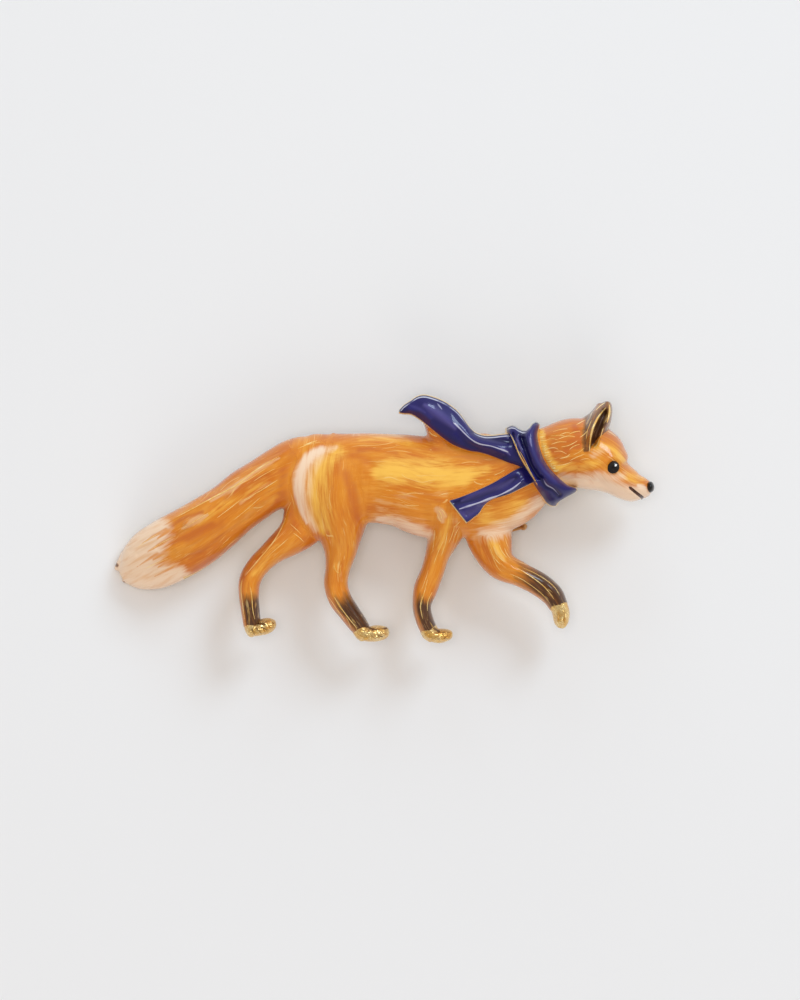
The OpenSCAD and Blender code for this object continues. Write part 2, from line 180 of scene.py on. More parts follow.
def leftwards(path):
    """The unit direction to the left of a flat path at each point, from its neighbours."""
    step = np.gradient(path[:, :2], axis=0)
    way = step / np.linalg.norm(step, axis=1, keepdims=True)
    return np.stack([-way[:, 1], way[:, 0]], axis=1)


def travelled(points):
    """How far along its path each point lies: the sum of the flat steps before it."""
    steps = np.diff(points[..., :2], axis=0)
    lengths = np.hypot(steps[..., 0], steps[..., 1])
    return np.concatenate([np.zeros((1, *lengths.shape[1:])), np.cumsum(lengths, axis=0)])


def eased(share):
    """A smooth step: share squared * (3 - 2 * share), with the share held between 0 and 1."""
    share = np.clip(share, 0, 1)
    return share * share * (3 - 2 * share)


print("a straight line of three rows, smoothed:", smooth([(0, 0), (1, 1), (2, 2)], 2)[:, 0].tolist())

# %% Carry a D-shaped section along a path
FULLNESS = 0.36


def dome(share, fullness=FULLNESS):
    """The height of a dome at a share of its half width: (1 - share squared) to a power."""
    return np.clip(1 - share ** 2, 0, 1) ** fullness


def limb_grid(rows, steps=10, around=30):
    """Points of a limb: path + side * half width * cos(turn), and back + thickness * dome."""
    path = smooth(rows, steps)
    share = np.cos(np.linspace(0, np.pi, around))
    flat = path[:, None, :2] + leftwards(path)[:, None] * (path[:, 2, None] / 2 * share)[..., None]
    up = path[:, 4, None] + path[:, 3, None] * dome(share)
    return np.concatenate([flat, up[..., None]], axis=2)


def closed_faces(rings, around, start=0):
    """Quads between neighbouring rings of points, with one flat face over each end."""
    i, k = np.meshgrid(np.arange(rings - 1), np.arange(around), indexing="ij")
    here, beside = i * around + k, i * around + (k + 1) % around
    quads = np.stack([here, here + around, beside + around, beside], axis=-1).reshape(-1, 4)
    first = list(range(start, start + around))
    last = [start + (rings - 1) * around + k for k in reversed(range(around))]
    return (quads + start).tolist() + [first, last]


def gathered(grids):
    """The points and the faces of many closed forms, each given as a grid of rings."""
    points, faces, count = [], [], 0
    for grid in grids:
        rings, around = grid.shape[:2]
        faces += closed_faces(rings, around, count)
        points.append(grid.reshape(-1, 3))
        count += rings * around
    return np.vstack(points), faces


print("a dome at 0, half and all of its half width:", dome(np.array([0, 0.5, 1.0])).round(2).tolist())


# %% Put points and faces into a mesh
def mesh_object(name, points, faces, scale=MM):
    """A new object from points in millimetres and lists of corners."""
    mesh = bpy.data.meshes.new(name)
    mesh.from_pydata((np.asarray(points) * scale).tolist(), [], faces)
    mesh.update()
    return put(name, mesh)


def read_points(mesh, kind="co"):
    """A mesh's vertex places, or its vertex normals, as an array of three columns."""
    values = np.empty(len(mesh.vertices) * 3, np.float32)
    mesh.vertices.foreach_get(kind, values)
    return values.reshape(-1, 3).astype(float)


def write_points(mesh, points, scale=MM):
    """Moves a mesh's vertices to points in millimetres."""
    mesh.vertices.foreach_set("co", (points * scale).astype(np.float32).ravel())
    mesh.update()


def outward(made):
    """Turns a closed piece's faces outwards, where its volume comes out negative.

    The volume is the sum over its triangles of corner . (corner x corner) / 6.
    """
    mesh = made.data
    mesh.calc_loop_triangles()
    corners = np.empty(len(mesh.loop_triangles) * 3, np.int32)
    mesh.loop_triangles.foreach_get("vertices", corners)
    one, two, three = read_points(mesh)[corners].reshape(-1, 3, 3).transpose(1, 0, 2)
    if (one * np.cross(two, three)).sum() < 0:
        mesh.flip_normals()
    mesh.shade_smooth()
    return made


def baked(thing):
    """The mesh of an object with its modifiers applied."""
    seen = thing.evaluated_get(bpy.context.evaluated_depsgraph_get())
    return bpy.data.meshes.new_from_object(seen)


# %% [markdown]
# ## Lines drawn over the surface
# Creases, muscles, brush strokes and gilt hair lines all lie along lines across the relief.
# One function tells how near each point is to such a line. Two others build on it: a relief
# line adds height there, and a brush stroke adds paint.


# %% Measure from points to a line
def to_line(spots, line):
    """For each spot: how far the nearest point of the line is, how far along, and which side.

    Each segment's nearest point is at the share (spot - start) . step / step . step, held
    between 0 and 1, and the smallest distance over all segments wins.
    """
    start, step = line[:-1], np.diff(line, axis=0)
    length = np.hypot(step[:, 0], step[:, 1])
    gap = spots[:, None, :] - start[None]
    share = np.clip((gap * step).sum(2) / (length ** 2), 0, 1)
    off = gap - share[..., None] * step
    far = np.hypot(off[..., 0], off[..., 1])
    best = far.argmin(1)
    pick = np.arange(len(spots)), best
    cross = step[best, 0] * gap[pick][:, 1] - step[best, 1] * gap[pick][:, 0]
    along = travelled(line)[best] + share[pick] * length[best]
    return far[pick], along, np.sign(cross)


def near_line(spots, curve, reach):
    """The numbers of the spots within reach of the box that a line lies in."""
    low, high = curve.min(0) - reach, curve.max(0) + reach
    return np.flatnonzero(((spots > low) & (spots < high)).all(1))


# %% Lay strokes and raise ridges along lines
RIDGE_REACH = 3  # widths


def strokes_on(spots, strokes):
    """How strongly strokes cover each spot: strength * (1 - distance / reach), smoothed.

    Each next stroke only covers what the strokes before it left bare. A line's third number,
    where there is one, is its share of the reach there.
    """
    cover = np.zeros(len(spots))
    for reach, strength, line in strokes:
        curve = smooth(line)
        shares = curve[:, 2] if curve.shape[1] > 2 else np.ones(len(curve))
        curve = curve[:, :2]
        near = near_line(spots, curve, reach)
        far, along, _ = to_line(spots[near], curve)
        width = reach * np.interp(along, travelled(curve), shares)
        cover[near] += strength * eased(1 - far / width) * (1 - np.clip(cover[near], 0, 1))
    return cover


def relief_on(spots, lines):
    """Height added by relief lines: height * exp(-(distance / width) squared), all summed.

    Beyond three widths a line adds next to nothing, and is left out.
    """
    height = np.zeros(len(spots))
    for width, rise, line in lines:
        curve = smooth(line)
        near = near_line(spots, curve, RIDGE_REACH * width)
        height[near] += rise * np.exp(-(to_line(spots[near], curve)[0] / width) ** 2)
    return height


print("cover on a stroke and beside it:",
      strokes_on(np.array([(0.5, 0.0), (0.5, 0.5)]), [(1.0, 1.0, [(0, 0), (1, 0)])]).round(2).tolist())

# %% [markdown]
# ## The fox's body
# The real body is one casting, so its limbs run into each other with no seams. Each limb is
# made as a closed form, and a voxel remesh melts them into one skin of even squares, small
# enough to carve. Joining the forms by hand would take far longer and leave creases.

# %% The trunk and the tail, in millimetres: x, y, width, thickness
BACK = 4.2


def flat_backed(rows):
    """Rows of a limb, with the level of the casting's flat back as a last column."""
    return [(*row, BACK) for row in rows]


TRUNK = flat_backed([
    (-11.6, 5.2, 5.2, 3.24), (-10.9, 5.3, 7.8, 4.16), (-9.1, 5.05, 10.6, 4.86), (-6.1, 4.37, 12.03, 5.2),
    (-2.1, 4.9, 10.83, 5.3), (1.9, 4.66, 11.1, 5.4), (5.9, 3.87, 12.4, 5.4), (9.9, 4.0, 12.4, 5.4),
    (13.9, 4.4, 11.9, 5.18), (16.8, 5.4, 9.95, 4.75), (18.3, 6.1, 7.19, 4.1)])
TAIL = [  # its back bends down to the table: x, y, width, thickness, level of the back
    (-7.2, 6.9, 6.16, 4.4, 4.2), (-9.8, 6.3, 7.2, 4.7, 4.2), (-12.2, 5.05, 7.2, 4.6, 4.07),
    (-14.2, 4.0, 6.75, 4.55, 4.03), (-16.16, 2.75, 6.85, 4.51, 3.99), (-18.1, 1.25, 6.75, 4.55, 3.88),
    (-20.12, -0.3, 7.25, 4.6, 3.74), (-22.96, -2.26, 7.8, 4.6, 3.19), (-25.8, -3.82, 7.9, 4.51, 2.18),
    (-28.34, -5.18, 7.25, 4.14, 0.92), (-30.37, -6.3, 4.99, 3.31, 0.13), (-31.59, -6.92, 1.72, 1.84, 0)]
WEB = flat_backed([
    (7.6, 8.2, 3.4, 4.2), (6.75, 9.6, 2.9, 3.9), (6.05, 10.8, 1.9, 3.4), (5.4, 12.0, 1.4, 3.0)])
print("rows:", len(TRUNK) + len(TAIL) + len(WEB))

# %% The legs: x, y, width, thickness
NEAR_HIND = flat_backed([
    (-4.64, 9.39, 5.5, 2.6), (-4.98, 7.58, 8.6, 4.7), (-5.17, 4.57, 9.8, 5.65), (-5.29, 1.2, 8.4, 5.55),
    (-5.12, -1.82, 5.6, 4.48), (-5.12, -3.91, 4.0, 3.51), (-5.44, -6.01, 3.0, 2.86),
    (-5.65, -7.82, 2.9, 2.6), (-5.15, -9.6, 2.8, 2.6), (-4.05, -11.22, 2.55, 2.6),
    (-3.17, -12.42, 2.4, 2.6), (-2.37, -13.51, 2.1, 2.08)])
FAR_HIND = flat_backed([
    (-8.06, 2.01, 8.0, 3.66), (-10.17, -1.49, 4.9, 3.3), (-13.16, -3.89, 3.05, 2.99),
    (-15.04, -5.7, 2.7, 2.6), (-15.98, -7.4, 2.65, 2.47), (-16.1, -9.18, 2.45, 2.34),
    (-15.92, -10.98, 2.3, 2.34), (-15.68, -12.97, 2.15, 2.18)])
NEAR_FORE = flat_backed([
    (8.67, 7.41, 4.59, 3.9), (8.23, 4.81, 7.18, 5.3), (7.94, 1.61, 6.66, 5.45), (7.45, -1.59, 4.44, 4.37),
    (6.56, -4.21, 3.0, 3.12), (5.9, -6.4, 2.8, 2.73), (5.08, -8.49, 2.85, 2.6), (4.66, -10.49, 2.25, 2.6),
    (5.05, -12.29, 2.15, 2.6), (5.66, -13.6, 2.02, 2.21)])
FAR_FORE = flat_backed([
    (12.3, 1.64, 6.3, 3.66), (12.8, -2.35, 5.5, 3.3), (14.05, -5.32, 3.85, 3.12), (16.4, -6.61, 3.0, 2.73),
    (18.61, -7.76, 2.9, 2.6), (20.22, -9.02, 2.75, 2.53), (20.95, -10.19, 2.4, 2.39),
    (21.2, -10.77, 2.2, 2.13)])
print("rows:", len(NEAR_HIND) + len(FAR_HIND) + len(NEAR_FORE) + len(FAR_FORE))

# %% The head: x, y, width, thickness
HEAD = flat_backed([
    (13.4, 4.43, 5.81, 2.8), (16.9, 6.1, 7.0, 4.0), (18.8, 6.6, 7.9, 4.82), (20.69, 7.32, 7.95, 5.21),
    (23.2, 7.98, 8.3, 5.6), (25.58, 7.25, 7.64, 5.6), (26.93, 6.22, 6.15, 5.38), (27.92, 5.17, 4.4, 4.75),
    (29.85, 3.99, 3.57, 3.81), (31.19, 3.72, 2.65, 2.9), (31.8, 3.66, 2.05, 2.45),
    (32.15, 3.64, 1.45, 2.0)])
JAW = flat_backed([
    (22.6, 5.1, 2.4, 3.6), (24.6, 4.75, 2.4, 3.8), (26.3, 4.5, 2.35, 3.7), (27.6, 4.05, 2.3, 3.5),
    (28.8, 3.5, 2.3, 3.2), (29.9, 3.15, 2.15, 2.9), (30.9, 3.25, 1.7, 2.5)])
NEAR_EAR = flat_backed([
    (24.2, 7.8, 1.4, 5.0), (24.5, 9.0, 2.0, 5.7), (24.95, 10.2, 2.5, 5.9), (25.6, 11.2, 3.0, 5.6),
    (26.1, 12.1, 2.75, 5.2), (26.5, 12.9, 2.2, 4.7), (26.8, 13.6, 1.5, 4.0), (26.88, 14.12, 0.7, 3.3)])
FAR_EAR = flat_backed([
    (24.4, 10.9, 2.6, 3.4), (25.6, 12.2, 1.9, 2.9), (26.4, 13.75, 1.2, 2.4)])
print("rows:", len(HEAD) + len(JAW) + len(NEAR_EAR) + len(FAR_EAR))

# %% The paws: a foot along each, a heel on three, and a row of toes along the lower edge
FEET = [flat_backed(rows) for rows in [
    [(-16.15, -13.5, 1.1, 2.1), (-15.3, -13.4, 1.4, 2.35), (-14.5, -13.0, 1.95, 2.2),
     (-13.6, -12.72, 1.75, 1.95), (-13.05, -12.58, 1.1, 1.5), (-12.85, -12.54, 0.5, 1.1)],
    [(-2.75, -14.0, 1.1, 2.1), (-1.9, -13.9, 1.65, 2.35), (-1.0, -13.75, 1.95, 2.2),
     (-0.1, -13.65, 1.75, 1.95), (0.5, -13.5, 1.2, 1.5), (0.72, -13.45, 0.5, 1.1)],
    [(5.05, -13.8, 1.1, 2.1), (5.9, -14.0, 1.5, 2.35), (6.7, -14.05, 1.75, 2.2),
     (7.5, -13.95, 1.55, 1.95), (8.1, -13.9, 1.1, 1.5), (8.35, -13.9, 0.5, 1.1)],
    [(21.05, -10.2, 2.15, 2.45), (21.35, -11.2, 2.1, 2.3), (21.4, -12.1, 1.9, 2.0),
     (21.36, -12.75, 1.4, 1.6), (21.3, -13.1, 0.7, 1.2)]]]
HEELS = [flat_backed(rows) for rows in [
    [(-15.72, -12.7, 1.8, 2.3), (-15.78, -13.3, 1.7, 2.25), (-15.85, -13.85, 1.1, 1.8),
     (-15.9, -14.15, 0.5, 1.3)],
    [(-2.8, -13.05, 2.1, 2.3), (-2.45, -13.6, 2.1, 2.3), (-2.25, -14.15, 1.8, 1.9),
     (-2.15, -14.6, 1.1, 1.4)],
    [(5.4, -13.1, 2.1, 2.3), (5.65, -13.65, 2.1, 2.25), (5.9, -14.2, 1.7, 1.9),
     (6.05, -14.65, 1.0, 1.4)]]]
TOES = [  # the middle of each toe, its heading in degrees, length and width
    (-15.85, -13.62, -70, 0.75, 0.62), (-15.15, -13.58, -60, 0.85, 0.62),
    (-14.4, -13.35, -35, 1.0, 0.62), (-13.65, -13.08, -15, 1.0, 0.58), (-2.3, -14.2, -60, 0.8, 0.66),
    (-1.5, -14.25, -50, 0.9, 0.66), (-0.72, -14.15, -30, 1.0, 0.64), (0.05, -13.9, -10, 1.0, 0.62),
    (5.45, -14.1, -60, 0.8, 0.62), (6.15, -14.32, -45, 0.9, 0.62), (6.92, -14.38, -20, 1.0, 0.6),
    (7.7, -14.22, 5, 0.9, 0.6), (20.95, -12.0, -85, 1.3, 0.55), (21.4, -12.3, -88, 1.3, 0.55),
    (21.85, -11.8, -92, 1.3, 0.5)]
TOE_TOP = 2.3


def toe_rows(toe):
    """Rows of one toe: it starts low on the foot, swells and closes."""
    x, y, angle, length, width = toe
    turn = np.radians(angle)
    shares = np.array([-0.55, -0.3, 0.0, 0.3, 0.48, 0.56]) * length
    wide = np.array([0.5, 0.85, 1.0, 0.9, 0.55, 0.15]) * width
    tall = np.array([0.7, 0.95, 1.0, 0.9, 0.72, 0.5]) * TOE_TOP
    middle = [x + shares * np.cos(turn), y + shares * np.sin(turn)]
    return np.column_stack([*middle, wide, tall, np.full(len(wide), BACK)])


print("toes:", len(TOES))

# %% The hair locks at the tail's tip, which touch the table: start, end, width, thickness
LOCKS = [((-29.5, -3.3), (-31.9, -5.0), 2.0, 2.3), ((-30.0, -4.4), (-32.35, -6.1), 2.2, 2.3),
         ((-29.6, -5.6), (-31.4, -7.6), 2.2, 2.4), ((-28.0, -6.0), (-29.7, -8.2), 2.4, 2.6)]


def lock_rows(lock):
    """Rows of one lock: its width and thickness fall off to a blunt point."""
    start, end, width, thick = lock
    shares = np.array([0.0, 0.4, 0.75, 0.95, 1.03])[:, None]
    flat = np.array(start) + shares * (np.array(end) - np.array(start))
    fall = np.array([1.0, 0.9, 0.6, 0.28, 0.1])
    return np.column_stack([flat, width * fall, thick * (0.25 + 0.75 * fall), np.zeros(len(fall))])


print("locks:", len(LOCKS))

# %% Melt the limbs into one skin
VOXEL = 0.175
PAW_VOXEL = 0.08
FORMS = [TRUNK, TAIL, NEAR_HIND, FAR_HIND, NEAR_FORE, FAR_FORE, HEAD, JAW, NEAR_EAR, FAR_EAR, WEB]
FORMS += [lock_rows(lock) for lock in LOCKS]


def melted(name, tables, voxel, rounds):
    """One skin around many limbs, in millimetres: their closed forms, remeshed and relaxed.

    Each round of relaxing moves a point halfway to the middle of its neighbours.
    """
    blank = mesh_object(name, *gathered(limb_grid(rows) for rows in tables), 1.0)
    remesh = blank.modifiers.new("skin", "REMESH")
    remesh.mode = "VOXEL"
    remesh.voxel_size = voxel
    relax = blank.modifiers.new("relax", "SMOOTH")
    relax.factor = 0.5
    relax.iterations = rounds
    mesh = baked(blank)
    bpy.data.objects.remove(blank)
    return mesh


body_mesh = melted("body_forms", FORMS, VOXEL, rounds=5)
paw_forms = FEET + HEELS + [toe_rows(toe) for toe in TOES]
paw_mesh = melted("paw_forms", paw_forms, PAW_VOXEL, rounds=4)
print("skin:", len(body_mesh.vertices), "points; paws:", len(paw_mesh.vertices), "points")

# %% Smooth the skin where one limb flows into another
BLENDS = [
    (5.0, 1.0, [(-8.6, 7.6), (-8.8, 4.6), (-8.6, 2.2)]), (3.6, 1.0, [(-14.0, 5.2), (-10.4, 6.6)]),
    (4.6, 1.0, [(-6.0, 7.6), (-2.4, 7.0), (-1.6, 3.4)]),
    (3.8, 1.0, [(5.0, 6.0), (9.4, 6.4), (13.0, 5.0)]), (3.0, 1.0, [(5.0, 4.0), (5.2, 1.4)]),
    (2.6, 1.0, [(11.2, 2.6), (11.4, -0.2), (12.8, -1.4)]),
    (3.0, 1.0, [(6.4, 3.0), (8.8, 2.8), (10.6, 1.2)]), (2.4, 0.9, [(-9.6, 0.8), (-8.6, -1.0)]),
    (2.2, 0.9, [(-2.6, 1.4), (-2.8, -0.6)]), (2.4, 0.9, [(19.0, 7.4), (21.6, 7.6)]),
    (1.4, 0.8, [(25.6, 7.4), (26.8, 8.4)])]
BLEND_FLOOR = 5.4  # the skin below this level stays as it is
BLEND_RISE = 1.5  # and this much higher it is smoothed in full
BLEND_GAIN = 1.5  # a stroke's cover times this is full before its middle
BLEND_STEP = 0.9  # the most that a point moves towards its neighbours in a round
BLEND_ROUNDS = 60


def neighbours_mean(points, edges):
    """The middle of each point's neighbours: the sum over its edges, over their number."""
    ends = np.concatenate([edges, edges[:, ::-1]])
    count = np.bincount(ends[:, 0], minlength=len(points))[:, None]
    total = [np.bincount(ends[:, 0], points[ends[:, 1], axis], len(points)) for axis in range(3)]
    return np.stack(total, axis=1) / np.maximum(count, 1)


def flowed(points, edges, weight):
    """Points moved towards their neighbours' middle, as far as each one's weight says."""
    for _ in range(BLEND_ROUNDS):
        points = points + weight[:, None] * (neighbours_mean(points, edges) - points)
    return points


edge_pairs = np.empty(len(body_mesh.edges) * 2, np.int32)
body_mesh.edges.foreach_get("vertices", edge_pairs)
raw = read_points(body_mesh)
weight = strokes_on(raw[:, :2], BLENDS) * np.clip((raw[:, 2] - BLEND_FLOOR) / BLEND_RISE, 0, 1)
step_share = np.clip(weight * BLEND_GAIN, 0, 1) * BLEND_STEP
write_points(body_mesh, flowed(raw, edge_pairs.reshape(-1, 2), step_share), 1.0)
print("smoothed:", round(float((weight > 0.3).mean()), 3), "of the skin")

# %% [markdown]
# ## Which limb is a point on?
# The brush strokes run along each limb, so each point of the skin needs to know its limb, how
# far along it lies and how far across. The limb whose dome stands highest there is the one
# that shows.


# %% The limbs that hair runs along
def widened(rows, wider, thicker):
    """A limb's rows with its width and thickness times two numbers."""
    return [(x, y, w * wider, t * thicker, level) for x, y, w, t, level in rows]


HAUNCH = flat_backed([
    (-5.2, 11.4, 7.0, 1.2), (-5.7, 9.2, 9.6, 3.0), (-6.1, 7.2, 11.4, 5.4), (-6.3, 4.57, 12.2, 6.2),
    (-6.0, 1.2, 10.2, 6.1), (-5.3, -1.82, 6.4, 4.9)])
GUIDES = {"trunk": TRUNK[:1:-1], "tail": TAIL[1:],
          "near_hind": HAUNCH + widened(NEAR_HIND[5:], 1.06, 1.08), "far_hind": FAR_HIND,
          "near_fore": widened(NEAR_FORE[2:], 1.0, 1.02), "far_fore": FAR_FORE[1:],
          "head": HEAD[2:], "near_ear": widened(NEAR_EAR, 1.0, 1.1)}
NUMBERS = {name: number for number, name in enumerate(GUIDES)}
print("limbs:", NUMBERS)

# %% Find each point's limb, and its place along and across it
LIMB_SPACING = 60.0  # keeps the lengths of two limbs apart, so their streaks differ
MIX_DEPTH = 1.3
EDGE_START = 0.98  # the share across from which a limb gives way to others
EDGE_FALL = 8
END_FALL = 5.0


def flow_over(spots):
    """Each spot's flow, the next limb's flow, that one's share, and the share across.

    A flow is the length along a limb, the distance across it and the limb's number. The limb
    with the highest dome gives the first flow, and the next highest gives the second. Its
    share falls from one half, where both domes are level, to nothing, where the first stands
    higher by the mixing depth. The share across is -1 at one edge of the limb and 1 at the
    other. Past a limb's edge or its end its dome counts as lower, so another limb can show.
    """
    tops, flows, across = [], [], []
    for number, rows in enumerate(GUIDES.values()):
        path = smooth(rows)
        far, along, side = to_line(spots, path[:, :2])
        reach = travelled(path)
        width, thick, level = (np.interp(along, reach, path[:, column]) for column in (2, 3, 4))
        share = far / (width / 2)
        beyond = (along <= 0) | (along >= reach[-1])
        lowered = np.clip(share - EDGE_START, 0, None) * EDGE_FALL + END_FALL * beyond * share
        tops.append(level + thick * dome(share) - lowered)
        numbers = np.full(len(spots), number)
        flows.append(np.column_stack([along + number * LIMB_SPACING, far * side, numbers]))
        across.append(side * share)
    tops, flows, across = np.array(tops), np.array(flows), np.array(across)
    first, second = np.argsort(-tops, axis=0)[:2]
    pick = np.arange(len(spots))
    mix = 0.5 * (1 - eased((tops[first, pick] - tops[second, pick]) / MIX_DEPTH))
    return flows[first, pick], flows[second, pick], mix, across[first, pick]


skin = read_points(body_mesh)
spots = skin[:, :2]
flow, flow_next, flow_mix, cross = flow_over(spots)
limb = flow[:, 2].astype(int)
print("points on each limb:", np.bincount(limb).tolist())

# %% [markdown]
# ## Carving the skin
# A modeller cuts hair, muscles and folds into the wax before it is cast. Here a list of lines
# does this: each adds a soft ridge or groove. A fine comb of hair runs along the flow as well.

# %% Ridges and grooves: width, height, line
TAIL_CREST = [(-11.8, 7.9), (-15.1, 5.9), (-17.6, 4.0), (-20.1, 2.7), (-22.7, 1.3), (-25.2, 0.0)]
EAR_HOLLOW = [(25.1, 9.0), (25.5, 10.3), (26.05, 11.6), (26.5, 12.7)]
RELIEF = [
    # haunch: its rear and front edges, and the muscle down the thigh
    (0.5, -0.22, [(-9.4, 8.2), (-10.9, 6.4), (-11.1, 4.0), (-10.6, 1.4), (-9.6, -0.8), (-8.2, -2.6)]),
    (0.7, -0.16, [(-1.6, 6.8), (-0.7, 5.0), (-0.9, 2.8), (-1.5, 0.6)]),
    (0.9, 0.18, [(-5.6, 6.4), (-5.9, 2.4), (-5.5, -1.6)]),
    (0.45, -0.15, [(-4.2, 0.6), (-4.4, -2.6), (-5.2, -5.4)]),
    # far hind leg: thigh muscle, tendon and heel
    (0.4, 0.22, [(-10.9, 2.0), (-11.9, -0.5), (-13.1, -2.7), (-15.1, -5.1), (-16.5, -6.9)]),
    (0.45, -0.18, [(-11.0, -1.6), (-12.6, -3.6), (-14.4, -5.6)]),
    (0.28, 0.16, [(-15.7, -7.8), (-15.6, -10.0), (-15.4, -12.4)]),
    (0.28, -0.14, [(-16.3, -8.6), (-16.2, -12.4)]),
    # near hind leg: hock and the two strips of the stocking
    (0.35, -0.18, [(-5.2, -5.4), (-5.4, -8.4), (-4.7, -10.4), (-3.2, -12.8)]),
    (0.26, 0.16, [(-6.2, -8.4), (-5.6, -10.2), (-3.9, -12.6)]),
    # near foreleg: shoulder blade, elbow, tendon
    (0.7, -0.16, [(4.9, 2.6), (5.0, 0.2), (5.7, -2.0)]),
    (0.6, 0.18, [(7.0, 2.2), (7.0, -0.6), (6.6, -3.4)]),
    (0.35, -0.16, [(8.6, 0.2), (7.4, -3.2), (6.2, -6.4), (5.3, -9.0)]),
    (0.26, 0.14, [(4.5, -8.8), (4.3, -10.8), (4.9, -12.9)]),
    # far foreleg
    (0.45, 0.2, [(13.0, -3.0), (14.2, -4.8), (16.6, -6.4), (18.9, -7.7)]),
    (0.35, -0.16, [(12.0, -3.6), (13.4, -5.8), (16.4, -7.2), (19.2, -8.9)]),
    (0.24, 0.14, [(16.6, -6.0), (19.0, -7.2), (20.8, -9.0), (21.3, -10.6)]),
    # chest and shoulder front
    (0.7, -0.22, [(10.4, 1.2), (10.8, -1.0), (11.4, -3.4)]),
    # tail: long locks of hair
    (0.32, -0.16, [(-10.6, 6.9), (-14.4, 4.9), (-18.0, 2.6), (-21.5, 0.4), (-24.2, -1.6), (-27.0, -3.3)]),
    (0.3, -0.14, [(-12.4, 3.8), (-15.6, 1.8), (-18.8, -0.6), (-22.4, -3.0)]),
    (0.3, 0.15, TAIL_CREST),
    (0.26, -0.14, [(-23.0, -1.0), (-26.2, -2.6), (-29.4, -4.3)]),
    (0.26, -0.14, [(-22.0, -4.0), (-25.0, -5.2), (-28.4, -6.6)]),
    (0.24, -0.12, [(-26.0, -4.4), (-28.6, -5.6), (-30.8, -6.6)]),
    (0.24, -0.12, [(-25.4, -1.0), (-28.0, -2.2), (-30.4, -3.8)]),
    (0.38, -0.2, [(-12.6, 2.9), (-16.0, 0.2), (-19.6, -2.6), (-23.0, -4.9)]),
    (0.34, 0.2, [(-13.0, 6.0), (-16.6, 3.7), (-20.4, 1.0), (-23.4, -0.6)]),
    (0.34, 0.18, [(-14.4, 2.4), (-18.0, 0.0), (-21.6, -2.2), (-24.6, -3.6)]),
    (0.3, -0.18, [(-17.4, 5.2), (-19.8, 3.5), (-22.4, 1.9)]),
    (0.45, 0.2, [(-20.6, 1.0), (-22.0, 0.2), (-23.4, -0.6)]),
    # head: brow, cheek, muzzle, mouth
    (0.55, -0.22, [(28.9, 8.2), (29.0, 6.9), (29.9, 5.6)]),
    (0.6, 0.14, [(25.2, 5.6), (26.6, 4.6), (28.6, 4.2)]),
    (0.3, 0.14, [(26.4, 6.6), (27.4, 7.3), (28.5, 6.9)]),
    (0.2, -0.22, [(29.3, 3.95), (30.2, 3.3), (31.15, 2.6)]),
    # neck: locks of hair
    (0.22, -0.12, [(19.6, 9.6), (22.0, 10.0), (24.2, 10.6)]),
    (0.22, -0.12, [(20.0, 8.0), (22.0, 8.4), (24.0, 9.0)]),
    (0.22, -0.1, [(20.8, 6.6), (22.6, 6.7), (24.4, 7.0)]),
    (0.22, -0.1, [(19.4, 10.6), (21.6, 11.0), (23.4, 11.6)]),
    # near ear: the hollow between its rims
    (0.36, -1.6, EAR_HOLLOW),
    (0.2, 0.35, [(24.6, 8.2), (24.75, 9.6), (25.1, 11.0), (25.7, 12.2), (26.5, 13.3)]),
    # the socket of the eye
    (0.75, -0.55, [(27.4, 6.25), (27.6, 6.1)]),
]
print("ridges and grooves:", len(RELIEF))

# %% Carve them
COMB_DEPTHS = np.array([0.008, 0.026, 0.010, 0.012, 0.012, 0.014, 0.024, 0.010])  # limb by limb


def hair_comb(flow, depth):
    """Hair along the flow: waves across it, whose phase drifts slowly along the limb."""
    along, across = flow[:, 0], flow[:, 1]
    drift = 1.3 * np.sin(0.55 * along) + 0.9 * np.sin(0.21 * along + 1.7 * across)
    coarse = np.sin(5.2 * across + drift)
    fine = np.sin(11.0 * across + 2.1 * drift + 0.8 * np.sin(0.9 * along))
    return depth * (0.6 * coarse + 0.5 * fine)


normals = read_points(body_mesh, "normal")
facing = np.clip(normals[:, 2], 0, 1) ** 0.5
comb = hair_comb(flow, COMB_DEPTHS[limb] * (1 - 2 * flow_mix))
skin[:, 2] += facing * (relief_on(spots, RELIEF) + comb)
write_points(body_mesh, skin)
print("carved; top at", round(skin[:, 2].max(), 2), "mm")
